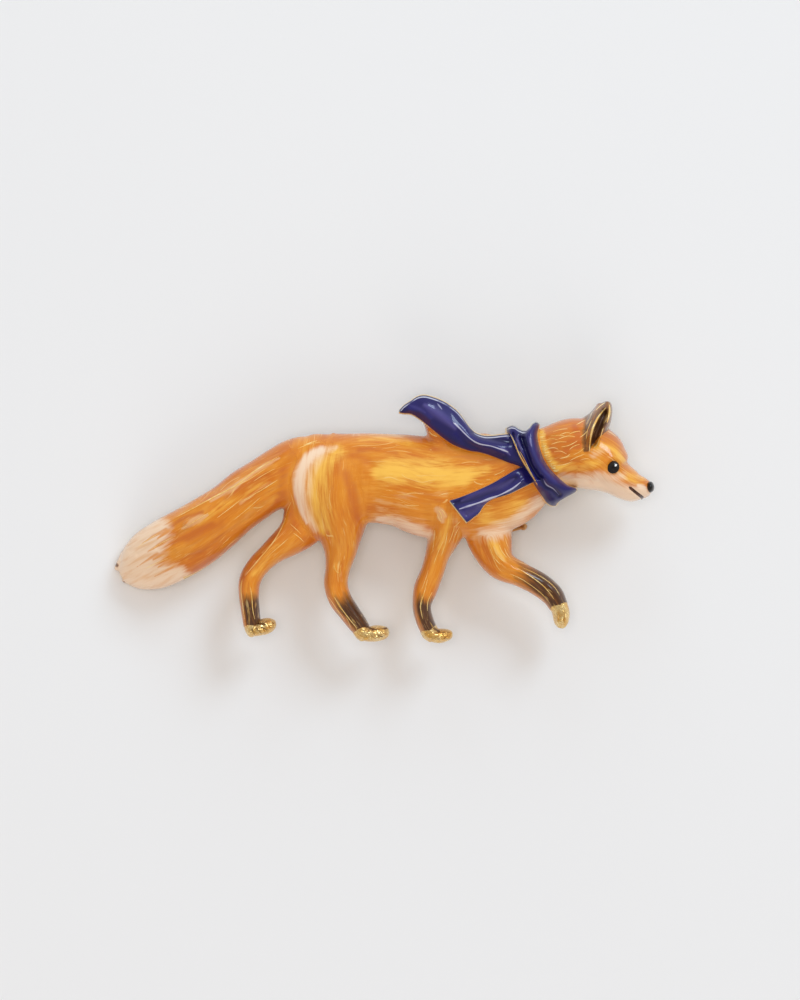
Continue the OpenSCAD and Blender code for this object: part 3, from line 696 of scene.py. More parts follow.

# %% [markdown]
# ## The paints' places
# The enamel is laid on by hand in strokes of cream, amber and rust over orange. Some strokes are painted
# light: the rust strokes also paint shade into edges and hollows, and the peach strokes and a few cream
# ones paint highlights. Dark brown stockings fade into gilt paws. Each paint has a list of strokes with a
# reach, a strength and a line, and the skin stores how strongly each paint covers each point.

# %% The pale strokes, some of them painted highlights: reach, strength, line
STROKES = {}
STROKES["cream"] = [
    (1.1, 0.92, [(-7.4, 8.3, 0.7), (-8.7, 7.5, 0.9), (-9.6, 6.2, 1.0), (-10.05, 4.8, 1.0),
                 (-10.0, 2.8, 0.9), (-9.6, 0.9, 0.5), (-9.1, -0.5, 0.2)]),
    (2.0, 0.48, [(-5.6, 8.6, 0.3), (-7.4, 7.8, 0.8), (-8.9, 6.2, 1.0), (-9.4, 3.4, 0.9),
                 (-9.0, 0.8, 0.65), (-8.1, -1.4, 0.4)]),
    # a painted highlight: the pale rim along the back's upper edge
    (0.6, 0.35, [(-3.6, 10.1), (-1.0, 10.1), (2.4, 9.9)]),
    (1.5, 0.75, [(-0.6, 0.0, 0.4), (1.4, -0.3, 0.8), (3.5, -1.1, 1.0), (5.2, -1.9, 1.1)]),
    (2.0, 0.7, [(11.8, -1.5, 0.5), (13.2, -1.5, 0.9), (14.8, -1.0, 1.0), (16.4, 0.2, 0.8),
                (18.8, 2.2, 0.8)]),
    (2.3, 1.1, [(21.6, 4.4, 0.7), (23.6, 4.2, 0.9), (25.6, 4.0, 1.0), (27.8, 3.3, 1.0),
                (30.0, 2.5, 1.0)]),
    (0.9, 0.8, [(29.8, 3.6, 0.5), (30.6, 3.2, 1.0), (31.5, 2.9, 0.9)]),
    (0.7, 1.0, [(30.5, 4.0, 0.4), (31.1, 3.7, 1.0), (31.5, 3.2, 1.0), (32.1, 2.9, 1.0)]),
    (1.0, 0.5, [(25.8, 5.4), (27.2, 5.0), (28.6, 5.2)]),
    # a painted highlight on the forehead
    (0.9, 0.42, [(25.2, 7.6), (25.9, 8.0), (26.5, 8.2)])]
STROKES["tip"] = [
    (4.8, 1.0, [(-29.1, -4.1), (-30.6, -5.6), (-29.2, -6.8)]),
    (3.0, 1.0, [(-27.0, -1.5), (-29.6, -3.4)]),
    (2.6, 1.0, [(-24.8, -7.0), (-27.4, -7.4)])]
# Most peach strokes are painted highlights: the shoulder spot, the tail's pale strand and patch, the legs'
# shine and the forehead. Those along the lower flank and belly paint light onto the side that faces away
# from the lamps.
STROKES["peach_and_highlight"] = [
    (0.75, 1.0, [(6.5, 1.15), (6.9, 0.6)]), (0.62, 1.0, [(7.05, 0.95), (7.4, 0.35)]),
    (0.6, 0.9, [(6.75, 0.2), (7.1, -0.25)]),
    (2.2, 0.6, [(11.4, -2.0), (13.0, -1.8), (14.8, -1.2), (16.8, 0.6)]),
    (0.75, 1.0, [(-20.9, 0.5, 0.3), (-21.8, 0.15, 1.0), (-22.8, -0.45, 1.0), (-24.0, -1.15, 0.3)]),
    (0.65, 0.9, [(-12.4, 7.3, 0.5), (-14.4, 6.1, 1.0), (-16.4, 4.8, 0.7), (-18.4, 3.4, 1.0),
                 (-20.6, 2.1, 0.5)]),
    (0.5, 0.5, [(-13.4, 4.4), (-15.4, 3.0), (-17.0, 1.9)]),
    (0.7, 0.45, [(13.2, -3.4, 0.4), (13.8, -4.4, 1.0), (14.8, -5.4, 0.5)]),
    (0.6, 0.5, [(-15.2, -5.2), (-16.4, -6.6)]), (0.5, 0.5, [(-5.2, -5.6), (-5.0, -7.4)]),
    (0.9, 0.45, [(24.9, 7.8), (25.8, 7.2)]), (0.8, 0.4, [(1.4, 3.0), (4.4, 2.9), (7.6, 3.1)]),
    (1.3, 0.34, [(-0.8, 2.1), (1.4, 1.9), (4.0, 1.6)]),
    (0.9, 0.4, [(8.4, 0.2), (8.9, -1.4), (8.4, -2.6)]),
    (1.6, 0.6, [(-0.6, 0.3), (2.0, 0.0), (4.6, -0.7)])]
print("strokes:", {name: len(strokes) for name, strokes in STROKES.items()})

# %% The flames and the amber strokes
STROKES["flames"] = [  # orange licks over the tail's pale tip
    (0.9, 1.0, [(-23.3, -0.2, 1.0), (-25.2, -1.2, 0.7), (-27.0, -2.3, 0.2)]),
    (0.8, 1.0, [(-23.8, -1.4, 1.0), (-26.0, -2.6, 0.7), (-28.2, -3.9, 0.2)]),
    (0.9, 1.0, [(-23.6, -2.7, 1.0), (-25.6, -3.7, 0.7), (-27.6, -4.9, 0.2)]),
    (0.8, 1.0, [(-23.4, -4.0, 1.0), (-25.2, -4.8, 0.6), (-27.0, -5.8, 0.2)]),
    (0.5, 0.9, [(-26.0, -1.2, 0.9), (-27.6, -2.1, 0.6), (-29.0, -3.0, 0.2)]),
    (0.5, 0.9, [(-27.0, -4.2, 0.9), (-28.4, -5.0, 0.5), (-29.6, -5.8, 0.2)]),
    (0.6, 0.8, [(-24.4, -5.4, 0.9), (-26.0, -6.2, 0.5), (-27.4, -6.9, 0.2)])]
STROKES["amber"] = [
    (3.2, 0.86, [(-0.4, 5.6, 0.6), (1.6, 5.7, 0.9), (3.4, 5.7, 1.0), (6.4, 5.4, 0.95), (9.4, 5.0, 0.7)]),
    (1.3, 0.6, [(9.6, 5.2), (12.4, 6.0)]),
    (3.4, 0.66, [(-5.4, 8.0, 0.6), (-7.4, 6.4, 0.9), (-8.0, 4.2, 1.0), (-7.9, 1.8, 0.9),
                 (-7.1, -1.0, 0.5)]),
    (2.6, 0.55, [(12.6, 0.2), (14.2, 0.2), (16.4, 1.6)]),
    (1.3, 0.6, [(13.0, -2.8), (14.2, -4.6)]),
    (1.6, 0.55, [(25.8, 8.4), (27.4, 8.2), (28.3, 7.0)]),
    (1.3, 0.5, [(21.4, 6.4), (23.8, 6.2), (25.6, 6.8)]),
    (0.8, 0.7, [(18.9, 10.6), (19.2, 9.0), (19.9, 7.3), (20.9, 6.0)]),
    (1.0, 0.4, [(-14.0, 4.6), (-18.4, 2.0), (-22.0, -0.2)]),
    (0.9, 0.4, [(-12.6, -3.2), (-15.4, -6.6)]),
    (1.2, 0.45, [(29.0, 5.0), (30.8, 4.6)]),
    (0.9, 0.5, [(8.0, 0.2), (6.8, -3.4)]),
    (1.2, 0.4, [(-2.6, 9.6), (0.0, 9.6), (3.0, 9.4)])]
print("strokes:", {name: len(strokes) for name, strokes in STROKES.items()})

# %% The rust strokes: rust enamel, and painted shade along the fox's edges and in its hollows
STROKES["rust_and_shade"] = [
    (1.4, 0.55, [(-10.4, 8.3), (-11.6, 6.4), (-12.0, 4.0), (-12.1, 2.4)]),
    (1.1, 0.6, [(-10.6, 2.4), (-10.9, 0.2), (-9.6, -2.2)]),
    (0.7, 0.7, [(-12.0, 1.0), (-12.6, -1.4), (-14.8, -4.6), (-17.0, -7.2)]),
    (0.8, 0.6, [(-2.8, 8.4), (-0.6, 8.3), (1.6, 7.9)]),
    (1.6, 0.65, [(-4.4, 5.4), (-3.6, 3.0), (-3.2, 0.4)]),
    (1.0, 0.3, [(-1.6, 2.6), (1.4, 2.3), (4.6, 2.0)]),
    (1.2, 0.55, [(-5.4, 7.6), (-3.4, 7.6), (-1.8, 7.0)]),
    (1.3, 0.6, [(-14.0, 5.4), (-16.4, 4.0), (-18.6, 2.6)]),
    (1.5, 0.6, [(-19.4, -0.6), (-21.4, -1.6), (-23.2, -2.4)]),
    (1.0, 0.5, [(6.0, 8.4), (9.4, 7.6), (12.6, 7.0)]),
    (0.7, 0.6, [(-12.6, 2.0), (-15.6, -0.9), (-19.0, -3.8), (-22.6, -6.2)]),
    (0.8, 0.7, [(-20.4, -0.6), (-23.0, -1.8), (-25.2, -2.9)]),
    (0.6, 0.7, [(-21.6, 0.8), (-24.0, 0.0), (-26.0, -1.4)]),
    (1.2, 0.4, [(-17.0, -1.0), (-20.4, -3.2), (-23.4, -4.6)]),
    (1.2, 0.6, [(20.4, 9.4), (22.6, 9.7), (23.4, 9.2)]),
    (1.0, 0.6, [(19.6, 8.6), (21.6, 8.9), (23.0, 9.6)]),
    (0.9, 0.8, [(22.9, 11.0), (23.4, 9.9), (23.3, 8.7)]),
    (0.8, 0.7, [(19.9, 8.2), (20.8, 7.9), (21.8, 7.9)]),
    (0.8, 0.8, [(22.0, 8.3), (22.9, 8.7)]),
    (0.7, 0.6, [(20.6, 7.2), (22.4, 6.4), (24.4, 6.2)]),
    (0.8, 0.5, [(-7.0, -3.6), (-6.6, -6.4), (-6.7, -8.8)]),
    (0.7, 0.6, [(4.6, -5.6), (4.0, -8.4), (3.8, -10.6), (4.2, -12.6)]),
    (0.8, 0.6, [(10.6, -2.6), (11.6, -4.8), (13.6, -6.4)]),
    (1.0, 0.5, [(15.4, -3.8), (16.2, -5.0), (18.0, -5.8)]),
    (0.9, 0.5, [(-2.6, -2.0), (-3.6, -4.8)]),
    (0.6, 0.4, [(0.4, 3.0), (3.4, 2.6), (5.6, 1.8)])]
print("rust strokes:", len(STROKES["rust_and_shade"]))

# %% The dark and the bare strokes, and the stockings
STROKES["dark"] = [
    (0.8, 1.0, [(25.8, 13.5), (26.6, 14.1)]), (0.4, 1.0, [(-32.4, -5.4), (-32.1, -5.6)]),
    (0.4, 1.0, [(-31.6, -7.9), (-31.3, -7.7)]), (0.9, 0.9, [(24.4, 12.4), (25.4, 13.2), (26.4, 13.9)]),
    (0.8, 0.9, [(24.1, 8.2, 0.5), (24.15, 9.4, 0.9), (24.3, 10.6, 1.0), (24.7, 11.9, 0.9)])]
STROKES["gilt"] = [
    (1.0, 1.0, [(-16.4, -13.3), (-15.0, -13.2), (-14.0, -12.8)]),
    (1.0, 1.0, [(-2.9, -13.9), (-1.6, -13.6)]), (1.0, 1.0, [(5.0, -13.9), (6.2, -13.9)]),
    (1.0, 1.0, [(20.6, -10.9), (21.6, -10.8)])]
# Where each starts along its leg, where it is full, and where across the leg it deepens
STOCKINGS = {"far_hind": ((-16.1, -8.0), (-16.2, -10.8), -0.85, -0.35),
             "near_hind": ((-5.6, -8.0), (-4.4, -11.2), -0.75, -0.25),
             "near_fore": ((5.0, -8.0), (4.8, -10.8), -0.75, -0.25),
             "far_fore": ((14.6, -5.6), (18.8, -7.9), -1.0, -0.4)}
STOCKING_PALEST = 0.36


def step_up(values, low, high):
    """A smooth step from 0 at low to 1 at high."""
    return eased((values - low) / (high - low))


def stockings(flow, cross):
    """The cover of the dark stockings, from where along each leg a point lies."""
    cover = np.zeros(len(flow))
    for name, (start, full, outer, inner) in STOCKINGS.items():
        path = smooth(GUIDES[name])[:, :2]
        low, high = to_line(np.array([start, full]), path)[1] + NUMBERS[name] * LIMB_SPACING
        on = flow[:, 2] == NUMBERS[name]
        deepness = STOCKING_PALEST + (1 - STOCKING_PALEST) * step_up(cross[on], outer, inner)
        cover[on] = step_up(flow[on, 0], low, high) * deepness
    return cover


print("dark and bare strokes:", len(STROKES["dark"]), len(STROKES["gilt"]))

# %% Store each paint's cover on the skin
RIM_LEVEL = 4.62  # the side wall is bare below this level
RIM_FADE = 0.25
TAIL_BEND = -24  # and on this side of x, where the tail hasn't bent down yet
EAR_FOOT = 8.0  # the ear is dark above this y
EAR_DARKNESS = 0.72
HOLLOW_DARKNESS = 0.35
EDGE_SHADE_DEPTH = 0.5
EDGE_SHARES = 0.72, 1.0  # shares across a limb, between which the painted edge shade comes in
MUZZLE = 30.0, 28.0  # and between these x it does so along the muzzle


def store(mesh, name, values, kind="FLOAT"):
    """A named value for each point of a mesh, which a material can read."""
    column = mesh.attributes.new(name, kind, "POINT")
    column.data.foreach_set("vector" if kind == "FLOAT_VECTOR" else "value",
                            np.asarray(values, np.float32).ravel())


masks = {name: strokes_on(spots, strokes) for name, strokes in STROKES.items()}
side_wall = step_up(RIM_LEVEL - skin[:, 2], 0, RIM_FADE) * (spots[:, 0] >= TAIL_BEND)
underside = np.clip(-normals[:, 2] * 2, 0, 1)
on_ear = (limb == NUMBERS["near_ear"]) & (spots[:, 1] > EAR_FOOT)
ear_dark = EAR_DARKNESS + HOLLOW_DARKNESS * strokes_on(spots, [(0.9, 1.0, EAR_HOLLOW)])
# painted shade: rust towards each limb's edges, where its dome falls away
edge_shade = EDGE_SHADE_DEPTH * step_up(np.abs(cross), *EDGE_SHARES) * (1 - 2 * flow_mix)
edge_shade *= (limb > 0) * step_up(spots[:, 0], *MUZZLE)
masks["rust_and_shade"] = np.maximum(masks["rust_and_shade"], edge_shade)
masks["dark"] = np.where(on_ear, ear_dark, np.maximum(masks["dark"], stockings(flow, cross)))
masks["gilt"] = np.maximum.reduce([masks["gilt"], side_wall, underside])
store(body_mesh, "flow", flow, "FLOAT_VECTOR")
store(body_mesh, "flow_next", flow_next, "FLOAT_VECTOR")
store(body_mesh, "flow_mix", flow_mix)
for name, values in masks.items():
    store(body_mesh, name, values)
body = put("fox", body_mesh)
body_mesh.shade_smooth()
print("covered:", {name: round(float((values > 0.5).mean()), 3) for name, values in masks.items()})

# %% [markdown]
# ## Draping lines on the relief
# The gilt hair lines are thin walls of metal that stand a hair above the enamel. A strip of
# points above the fox is dropped onto it by a Shrinkwrap modifier, and read back, so each line
# follows every hill of the relief.

# %% Drop points onto the fox
DROP_HEIGHT = 14.0  # above all of the fox
MISSED_ABOVE = 13.5


def dropped(flat, target):
    """The height of a piece under each flat point, by a Shrinkwrap that projects down.

    Where a point misses the piece, it takes the lowest height that the others found.
    """
    places = np.column_stack([flat.reshape(-1, 2), np.full(flat[..., 0].size, DROP_HEIGHT)])
    probe = mesh_object("probe", places, [])
    wrap = probe.modifiers.new("drop", "SHRINKWRAP")
    wrap.target = target
    wrap.wrap_method = "PROJECT"
    wrap.use_project_z = True
    wrap.use_negative_direction = True
    wrap.use_positive_direction = False
    landed = read_points(baked(probe))[:, 2] / MM
    missed = landed > MISSED_ABOVE
    landed[missed] = landed[~missed].min()
    bpy.data.objects.remove(probe)
    return landed.reshape(flat.shape[:-1])


# %% Raise a thin line along a curve
ACROSS = np.array([-1.0, -0.75, -0.4, 0.0, 0.4, 0.75, 1.0])
SEAT = 0.03  # how deep a line is let in
WALL = 0.12  # how far its underside lies below its lowest edge
LINE_STEPS = 8
TIPS = 0.02, 0.98  # shares of its length outside which a line thins no more, so it has no point
TAPER = 4  # a line with one tip has its full width after a quarter of its length
BLUNT = 0.3  # and starts at this share of it


def raised_line(line, width, height, target, both_ends):
    """Points of a thin raised line: surface + height * sqrt(1 - across squared).

    It tapers at both ends, or at its first end alone.
    """
    path = smooth(line, LINE_STEPS)
    share = np.linspace(0, 1, len(path))
    at_both = np.sin(np.pi * np.clip(share, *TIPS)) ** 0.5
    slim = (at_both if both_ends else np.clip(TAPER * share, BLUNT, 1))[:, None]
    flat = path[:, None, :] + leftwards(path)[:, None] * (width / 2 * slim * ACROSS)[..., None]
    top = dropped(flat, target) + height * slim * np.sqrt(1 - ACROSS ** 2) - SEAT
    under = np.repeat(top.min(1)[:, None] - WALL, 2, axis=1)
    upper = np.concatenate([flat, top[..., None]], axis=2)
    lower = np.concatenate([flat[:, [-1, 0]], under[..., None]], axis=2)
    return np.concatenate([upper, lower], axis=1)


def lines_piece(name, lines, target, both_ends=True):
    """One piece made of many raised lines, each given as width, height and line."""
    grids = [raised_line(line, width, height, target, both_ends) for width, height, line in lines]
    return outward(mesh_object(name, *gathered(grids)))


# %% The gilt hair lines, by their width and height
HAIR_SIZES = {
    (0.17, 0.08): [TAIL_CREST],
    (0.16, 0.09): [
        [(-11.5, 0.9), (-11.9, -0.5), (-13.1, -2.7), (-15.1, -5.1), (-16.6, -6.9)]],
    (0.14, 0.08): [
        [(-9.5, 8.8), (-8.6, 9.15), (-7.8, 9.4)], [(5.5, 10.5), (5.9, 10.1), (6.5, 9.85)],
        [(13.2, -3.2), (13.6, -4.2), (14.6, -5.2)]],
    (0.13, 0.08): [
        [(22.2, 10.13), (22.9, 10.4), (23.6, 10.5)], [(22.2, 8.28), (22.8, 8.7), (23.5, 8.95)],
        [(25.15, 8.45), (25.5, 8.9), (25.9, 9.7)], [(25.9, 9.6), (26.16, 10.4), (26.3, 10.9)]],
    (0.12, 0.07): [
        [(-12.4, 4.8), (-14.6, 3.4), (-16.8, 2.2)], [(6.6, 1.1), (6.9, 0.6), (7.0, 0.0)],
        [(-15.9, -7.9), (-15.7, -9.4), (-15.6, -10.8), (-15.3, -12.2)],
        [(-5.9, -9.2), (-5.2, -10.4), (-4.0, -12.0), (-3.0, -13.2)],
        [(5.4, -7.0), (5.0, -8.6), (4.5, -10.4), (4.8, -12.2)],
        [(-5.95, -5.5), (-5.55, -6.3), (-5.2, -6.4)],
        [(15.6, -5.6), (17.6, -6.8), (19.4, -8.2), (20.6, -9.8)],
        [(22.2, 6.93), (23.04, 7.35), (24.14, 7.78)], [(20.8, 9.5), (22.0, 9.9), (23.0, 9.8)],
        [(21.2, 8.6), (22.2, 8.8), (23.3, 9.4)]],
    (0.11, 0.07): [
        [(20.0, 8.9), (21.0, 9.2), (22.0, 9.2)], [(20.6, 6.4), (21.6, 6.5), (22.7, 6.9)]],
    (0.1, 0.06): [
        [(-12.6, 6.2), (-14.4, 5.2), (-15.6, 4.4)], [(-16.6, 2.6), (-18.4, 1.2), (-20.0, 0.0)],
        [(-10.9, 2.2), (-11.4, 1.2), (-11.7, 0.2)], [(-11.2, -0.5), (-10.4, -1.2), (-9.7, -1.9)],
        [(-10.8, -1.6), (-10.0, -2.2), (-9.4, -2.8)], [(-11.2, -2.2), (-12.2, -3.1), (-13.4, -4.1)],
        [(6.9, 1.2), (7.3, 0.8), (7.6, 0.2)], [(6.5, 0.7), (6.6, 0.2), (7.0, -0.4)],
        [(-16.8, -7.0), (-17.0, -8.4), (-16.8, -10.4), (-16.5, -12.6)],
        [(-6.6, -9.2), (-5.8, -10.4), (-4.4, -12.4)], [(6.0, -8.6), (5.4, -9.8), (5.3, -11.2)],
        [(8.6, -0.6), (8.3, -1.8), (7.8, -3.0)], [(8.4, -1.05), (8.9, -0.6), (9.3, -0.2)],
        [(9.2, -0.8), (8.6, -2.0), (8.3, -3.0)], [(6.0, -5.6), (6.5, -4.2), (7.3, -2.4)],
        [(7.7, -1.4), (7.5, -2.8), (6.9, -4.6)], [(-5.0, -5.3), (-5.1, -6.2), (-5.2, -7.0)],
        [(13.9, -3.0), (14.2, -3.8), (14.9, -4.7)], [(12.8, -3.4), (13.2, -4.5), (14.2, -5.6)],
        [(14.8, -6.4), (16.6, -7.2), (18.6, -8.6), (20.0, -10.0)],
        [(6.5, 2.73), (7.38, 3.03), (8.6, 3.2)], [(1.56, 2.88), (2.72, 2.95), (3.45, 3.1), (5.2, 3.03)],
        [(13.2, 5.2), (13.92, 5.5), (14.65, 5.93)], [(20.2, 10.4), (21.2, 10.7), (22.2, 10.8)],
        [(19.9, 9.9), (20.9, 10.0), (21.8, 9.9)], [(20.3, 8.0), (21.2, 8.1), (22.0, 7.7)],
        [(21.0, 7.2), (21.8, 7.4), (22.4, 7.8)], [(23.0, 11.2), (23.7, 11.6), (24.3, 11.9)],
        [(22.6, 7.6), (23.4, 8.0), (24.0, 8.5)], [(19.4, 9.4), (20.2, 9.6), (21.0, 9.4)],
        [(19.6, 8.4), (20.4, 8.5), (21.0, 8.3)], [(23.4, 9.7), (24.0, 10.1), (24.4, 10.6)],
        [(21.0, 10.0), (21.8, 10.3), (22.4, 10.3)], [(23.4, 7.0), (24.2, 7.2), (24.8, 7.1)]],
    (0.09, 0.06): [
        [(-20.6, 0.9), (-22.4, -0.2), (-24.4, -1.4)], [(-24.6, -1.9), (-26.4, -2.8), (-28.2, -3.9)],
        [(16.2, -5.6), (18.4, -6.6), (20.4, -8.0), (21.4, -9.6)],
        [(2.43, 1.72), (3.4, 1.6), (4.47, 1.64)]],
    (0.09, 0.05): [
        [(6.2, -1.0), (6.1, -2.6), (5.9, -4.0)], [(5.5, -5.8), (5.1, -7.2), (4.6, -8.6)]],
    (0.08, 0.05): [
        [(-25.4, -4.6), (-27.2, -5.3), (-29.0, -6.2)], [(-26.6, -1.6), (-28.2, -2.5), (-29.8, -3.7)],
        [(-14.2, 3.0), (-16.2, 1.2), (-18.2, -0.4)], [(-10.6, 8.2), (-9.0, 8.9), (-7.0, 9.3)],
        [(14.5, -3.3), (14.8, -4.1), (15.4, -4.9)]]}
HAIR_LINES = [(*size, line) for size, lines in HAIR_SIZES.items() for line in lines]
print("lines on the coat:", len(HAIR_LINES))

# %% The tufts of hair behind the scarf
TUFT_LINE = [(18.68, 10.25), (18.72, 9.2), (19.0, 8.0), (19.55, 6.8), (20.4, 5.65)]
TUFT_WIDTH, TUFT_HEIGHT, TUFT_BEND, TUFT_LENGTH = 0.13, 0.08, 0.34, 0.62


def tuft(x, y):
    """A short hair line that starts at a point. Its width, bend and length vary with y."""
    middle = (x + TUFT_BEND, y - 0.03 + 0.04 * math.sin(17 * y))
    end = (x + TUFT_LENGTH + 0.26 * math.sin(23 * y), y + 0.04 + 0.08 * math.sin(29 * y))
    return TUFT_WIDTH + 0.04 * math.sin(31 * y), TUFT_HEIGHT, [(x, y), middle, end]


TUFTS = [tuft(x, y) for x, y in smooth(TUFT_LINE, 8)]
hair_lines = lines_piece("gilt_hair_lines", HAIR_LINES + TUFTS, body)
print("tufts:", len(TUFTS))

# %% The ear's gilt lines: width, height, line
EAR_LINES = [
    (0.28, 0.22, [(24.6, 8.0), (24.72, 9.29), (24.81, 10.05), (25.06, 10.97), (25.57, 11.98),
                  (26.07, 12.66), (26.62, 13.3)]),
    (0.1, 0.06, [(24.22, 9.37), (24.39, 10.55), (24.98, 11.98)]),
    (0.3, 0.18, [(26.75, 11.5), (27.0, 12.3), (27.1, 13.0), (27.05, 13.7)]),
    (0.14, 0.08, [(25.4, 12.95), (26.0, 13.55), (26.6, 13.95)])]
ear_lines = lines_piece("gilt_ear_lines", EAR_LINES, body)
print("lines on the ear:", len(EAR_LINES))

# %% [markdown]
# ## Node trees written as sums
# A material is a small network of nodes. Written node by node it is long and hard to read, so
# one small class wraps an output socket and lets Python's own signs add the Math nodes. A
# second class is the sheet that the nodes are laid on.


# %% Wrap a socket
class Wire:
    """An output socket in a node tree. A sum with it adds a Math node to its sheet."""

    def __init__(self, sheet, socket):
        self.sheet = sheet
        self.socket = socket

    def _math(self, operation, *values):
        return self.sheet.node("ShaderNodeMath", {"operation": operation}, dict(enumerate(values)))

    def __add__(self, other):
        return self._math("ADD", self, other)

    def __sub__(self, other):
        return self._math("SUBTRACT", self, other)

    def __rsub__(self, other):
        return self._math("SUBTRACT", other, self)

    def __mul__(self, other):
        return self._math("MULTIPLY", self, other)

    def over(self, other):
        """The larger of two values."""
        return self._math("MAXIMUM", self, other)

    def fraction(self):
        """What is left of a value above its whole number."""
        return self._math("FRACT", self)

    def distance(self, other):
        """How far two values are apart."""
        return self._math("ABSOLUTE", self - other)

    def ramp(self, zero, one):
        """A smooth step from 0, where the value is the first number, to 1 at the second."""
        return self.sheet.node("ShaderNodeMapRange", {"interpolation_type": "SMOOTHSTEP"},
                               {"Value": self, "From Min": zero, "From Max": one})


# %% Lay out a material
class Finish:
    """A material's node tree, with the one method that adds a node."""

    def __init__(self, name):
        self.material = bpy.data.materials.new(name)
        self.material.use_nodes = True
        self.tree = self.material.node_tree
        self.shader = self.tree.nodes["Principled BSDF"]

    def node(self, kind, settings=None, values=None, output=0):
        """Adds a node: its settings first, then its sockets' values or links."""
        made = self.tree.nodes.new(kind)
        for key, value in (settings or {}).items():
            setattr(made, key, value)
        for key, value in (values or {}).items():
            self.plug(made.inputs[key], value)
        return Wire(self, made.outputs[output])

    def plug(self, socket, value):
        """Links a wire to a socket, or sets the socket's own value."""
        if isinstance(value, Wire):
            self.tree.links.new(value.socket, socket)
        else:
            socket.default_value = value

    def surface(self, **values):
        """Sets the sockets of the shader, by their names with spaces as underscores."""
        for key, value in values.items():
            self.plug(self.shader.inputs[key.replace("_", " ")], value)
        return self.material

    def stored(self, name, output="Fac"):
        """A value stored on the mesh's points, or a vector where the output says so."""
        return self.node("ShaderNodeAttribute", {"attribute_name": name}, output=output)

    def place(self):
        """The point's own place on the piece."""
        return self.node("ShaderNodeTexCoord", output="Object")

    def vectors(self, operation, one, other=(0, 0, 0), output=0):
        """A sum, a product or a length of vectors."""
        return self.node("ShaderNodeVectorMath", {"operation": operation}, {0: one, 1: other}, output)

    def noise(self, vector, scale=1.0, detail=3.0, rough=0.5, wander=0.0):
        """Soft random values from 0 to 1."""
        return self.node("ShaderNodeTexNoise", {"noise_dimensions": "3D"},
                         {"Vector": vector, "Scale": scale, "Detail": detail, "Roughness": rough,
                          "Distortion": wander})

    def flowing(self, scale, detail):
        """Noise stretched along the hair: the mix of the noises of the two nearest limbs."""
        own, beside = (
            self.noise(self.vectors("MULTIPLY", self.stored(name, "Vector"), scale), 1.0, detail, 0.55, 0.3)
            for name in ("flow", "flow_next"))
        return own + (beside - own) * self.stored("flow_mix")

    def blend(self, share, first, second):
        """The first colour where share is 0, and the second where it is 1."""
        return self.node("ShaderNodeMix", {"data_type": "RGBA"}, {0: share, 6: first, 7: second}, 2)

    def layered(self, colour, layers):
        """Paints laid over a colour one after the other, each as far as its share says."""
        for share, paint in layers:
            colour = self.blend(share, colour, paint)
        return colour

    def bump(self, height, strength, distance):
        """A normal tilted by a height, which is in metres once it is times the distance."""
        return self.node("ShaderNodeBump", None,
                         {"Height": height, "Strength": strength, "Distance": distance})


# %% Dress pieces in a material
def dress(material, *pieces):
    """Gives pieces a material, in place of any that they have."""
    for piece in pieces:
        piece.data.materials.clear()
        piece.data.materials.append(material)


# %% [markdown]
# ## The paints
# Colours are given as they look on a screen, from 0 to 255, and turned into the linear values
# that the renderer works with.


# %% Colours
def shade(red, green, blue):
    """A linear colour from screen values: ((c + 0.055) / 1.055) to the power 2.4."""
    screen = np.array([red, green, blue]) / 255
    linear = np.where(screen <= 0.04045, screen / 12.92, ((screen + 0.055) / 1.055) ** 2.4)
    return (*linear.round(4).tolist(), 1.0)


ORANGE = shade(224, 136, 34)
DEEP_ORANGE = shade(208, 112, 28)
LIGHT_ORANGE = shade(238, 166, 66)
RUST_TONE_AND_SHADE = shade(194, 92, 34)
AMBER_PAINT = shade(252, 196, 84)
CREAM_PAINT = shade(248, 218, 188)
TIP_PAINT = shade(248, 216, 184)
PEACH_TONE_AND_HIGHLIGHT = shade(234, 180, 126)
BRONZE_PAINT = shade(156, 96, 36)
DARK_PAINT = shade(68, 42, 28)
BROWN_PAINT = shade(110, 68, 34)
GILT_METAL = shade(234, 180, 92)
GILT_PALE = shade(252, 224, 160)
LINE_PAINT = shade(248, 206, 124)
print("orange, linear:", ORANGE)

# %% [markdown]
# ## The fox's enamel
# Orange enamel carries streaks along the hair. Each paint's edge is broken up by the same
# streaks, so it looks drawn out with a fine brush, and thin gilt lines show where the metal
# comes through. A clear, hard gloss lies over all of it, but not over the bare gilt edges.


# %% Draw thin gilt lines along the hair
def hair_marks(finish):
    """Where thin gilt lines and flecks show: in wandering lanes along each limb."""
    flow = finish.stored("flow", "Vector")
    across = finish.node("ShaderNodeSeparateXYZ", None, {0: flow}, 1)
    wander = finish.noise(finish.vectors("MULTIPLY", flow, (0.16, 0.3, 1.0)), 1.0, 1.0)
    lane = (across * 1.3 + wander * 5.0).fraction()
    sparse = finish.flowing((0.20, 0.9, 1.0), 1.0)
    lines = lane.distance(0.5).ramp(0.07, 0.02) * sparse.ramp(0.56, 0.66)
    flecks = finish.flowing((0.65, 7.5, 1.0), 2.0).ramp(0.66, 0.71) * sparse.ramp(0.44, 0.58)
    return (lines * (1 - finish.stored("flow_mix") * 2)).over(flecks * 0.8)


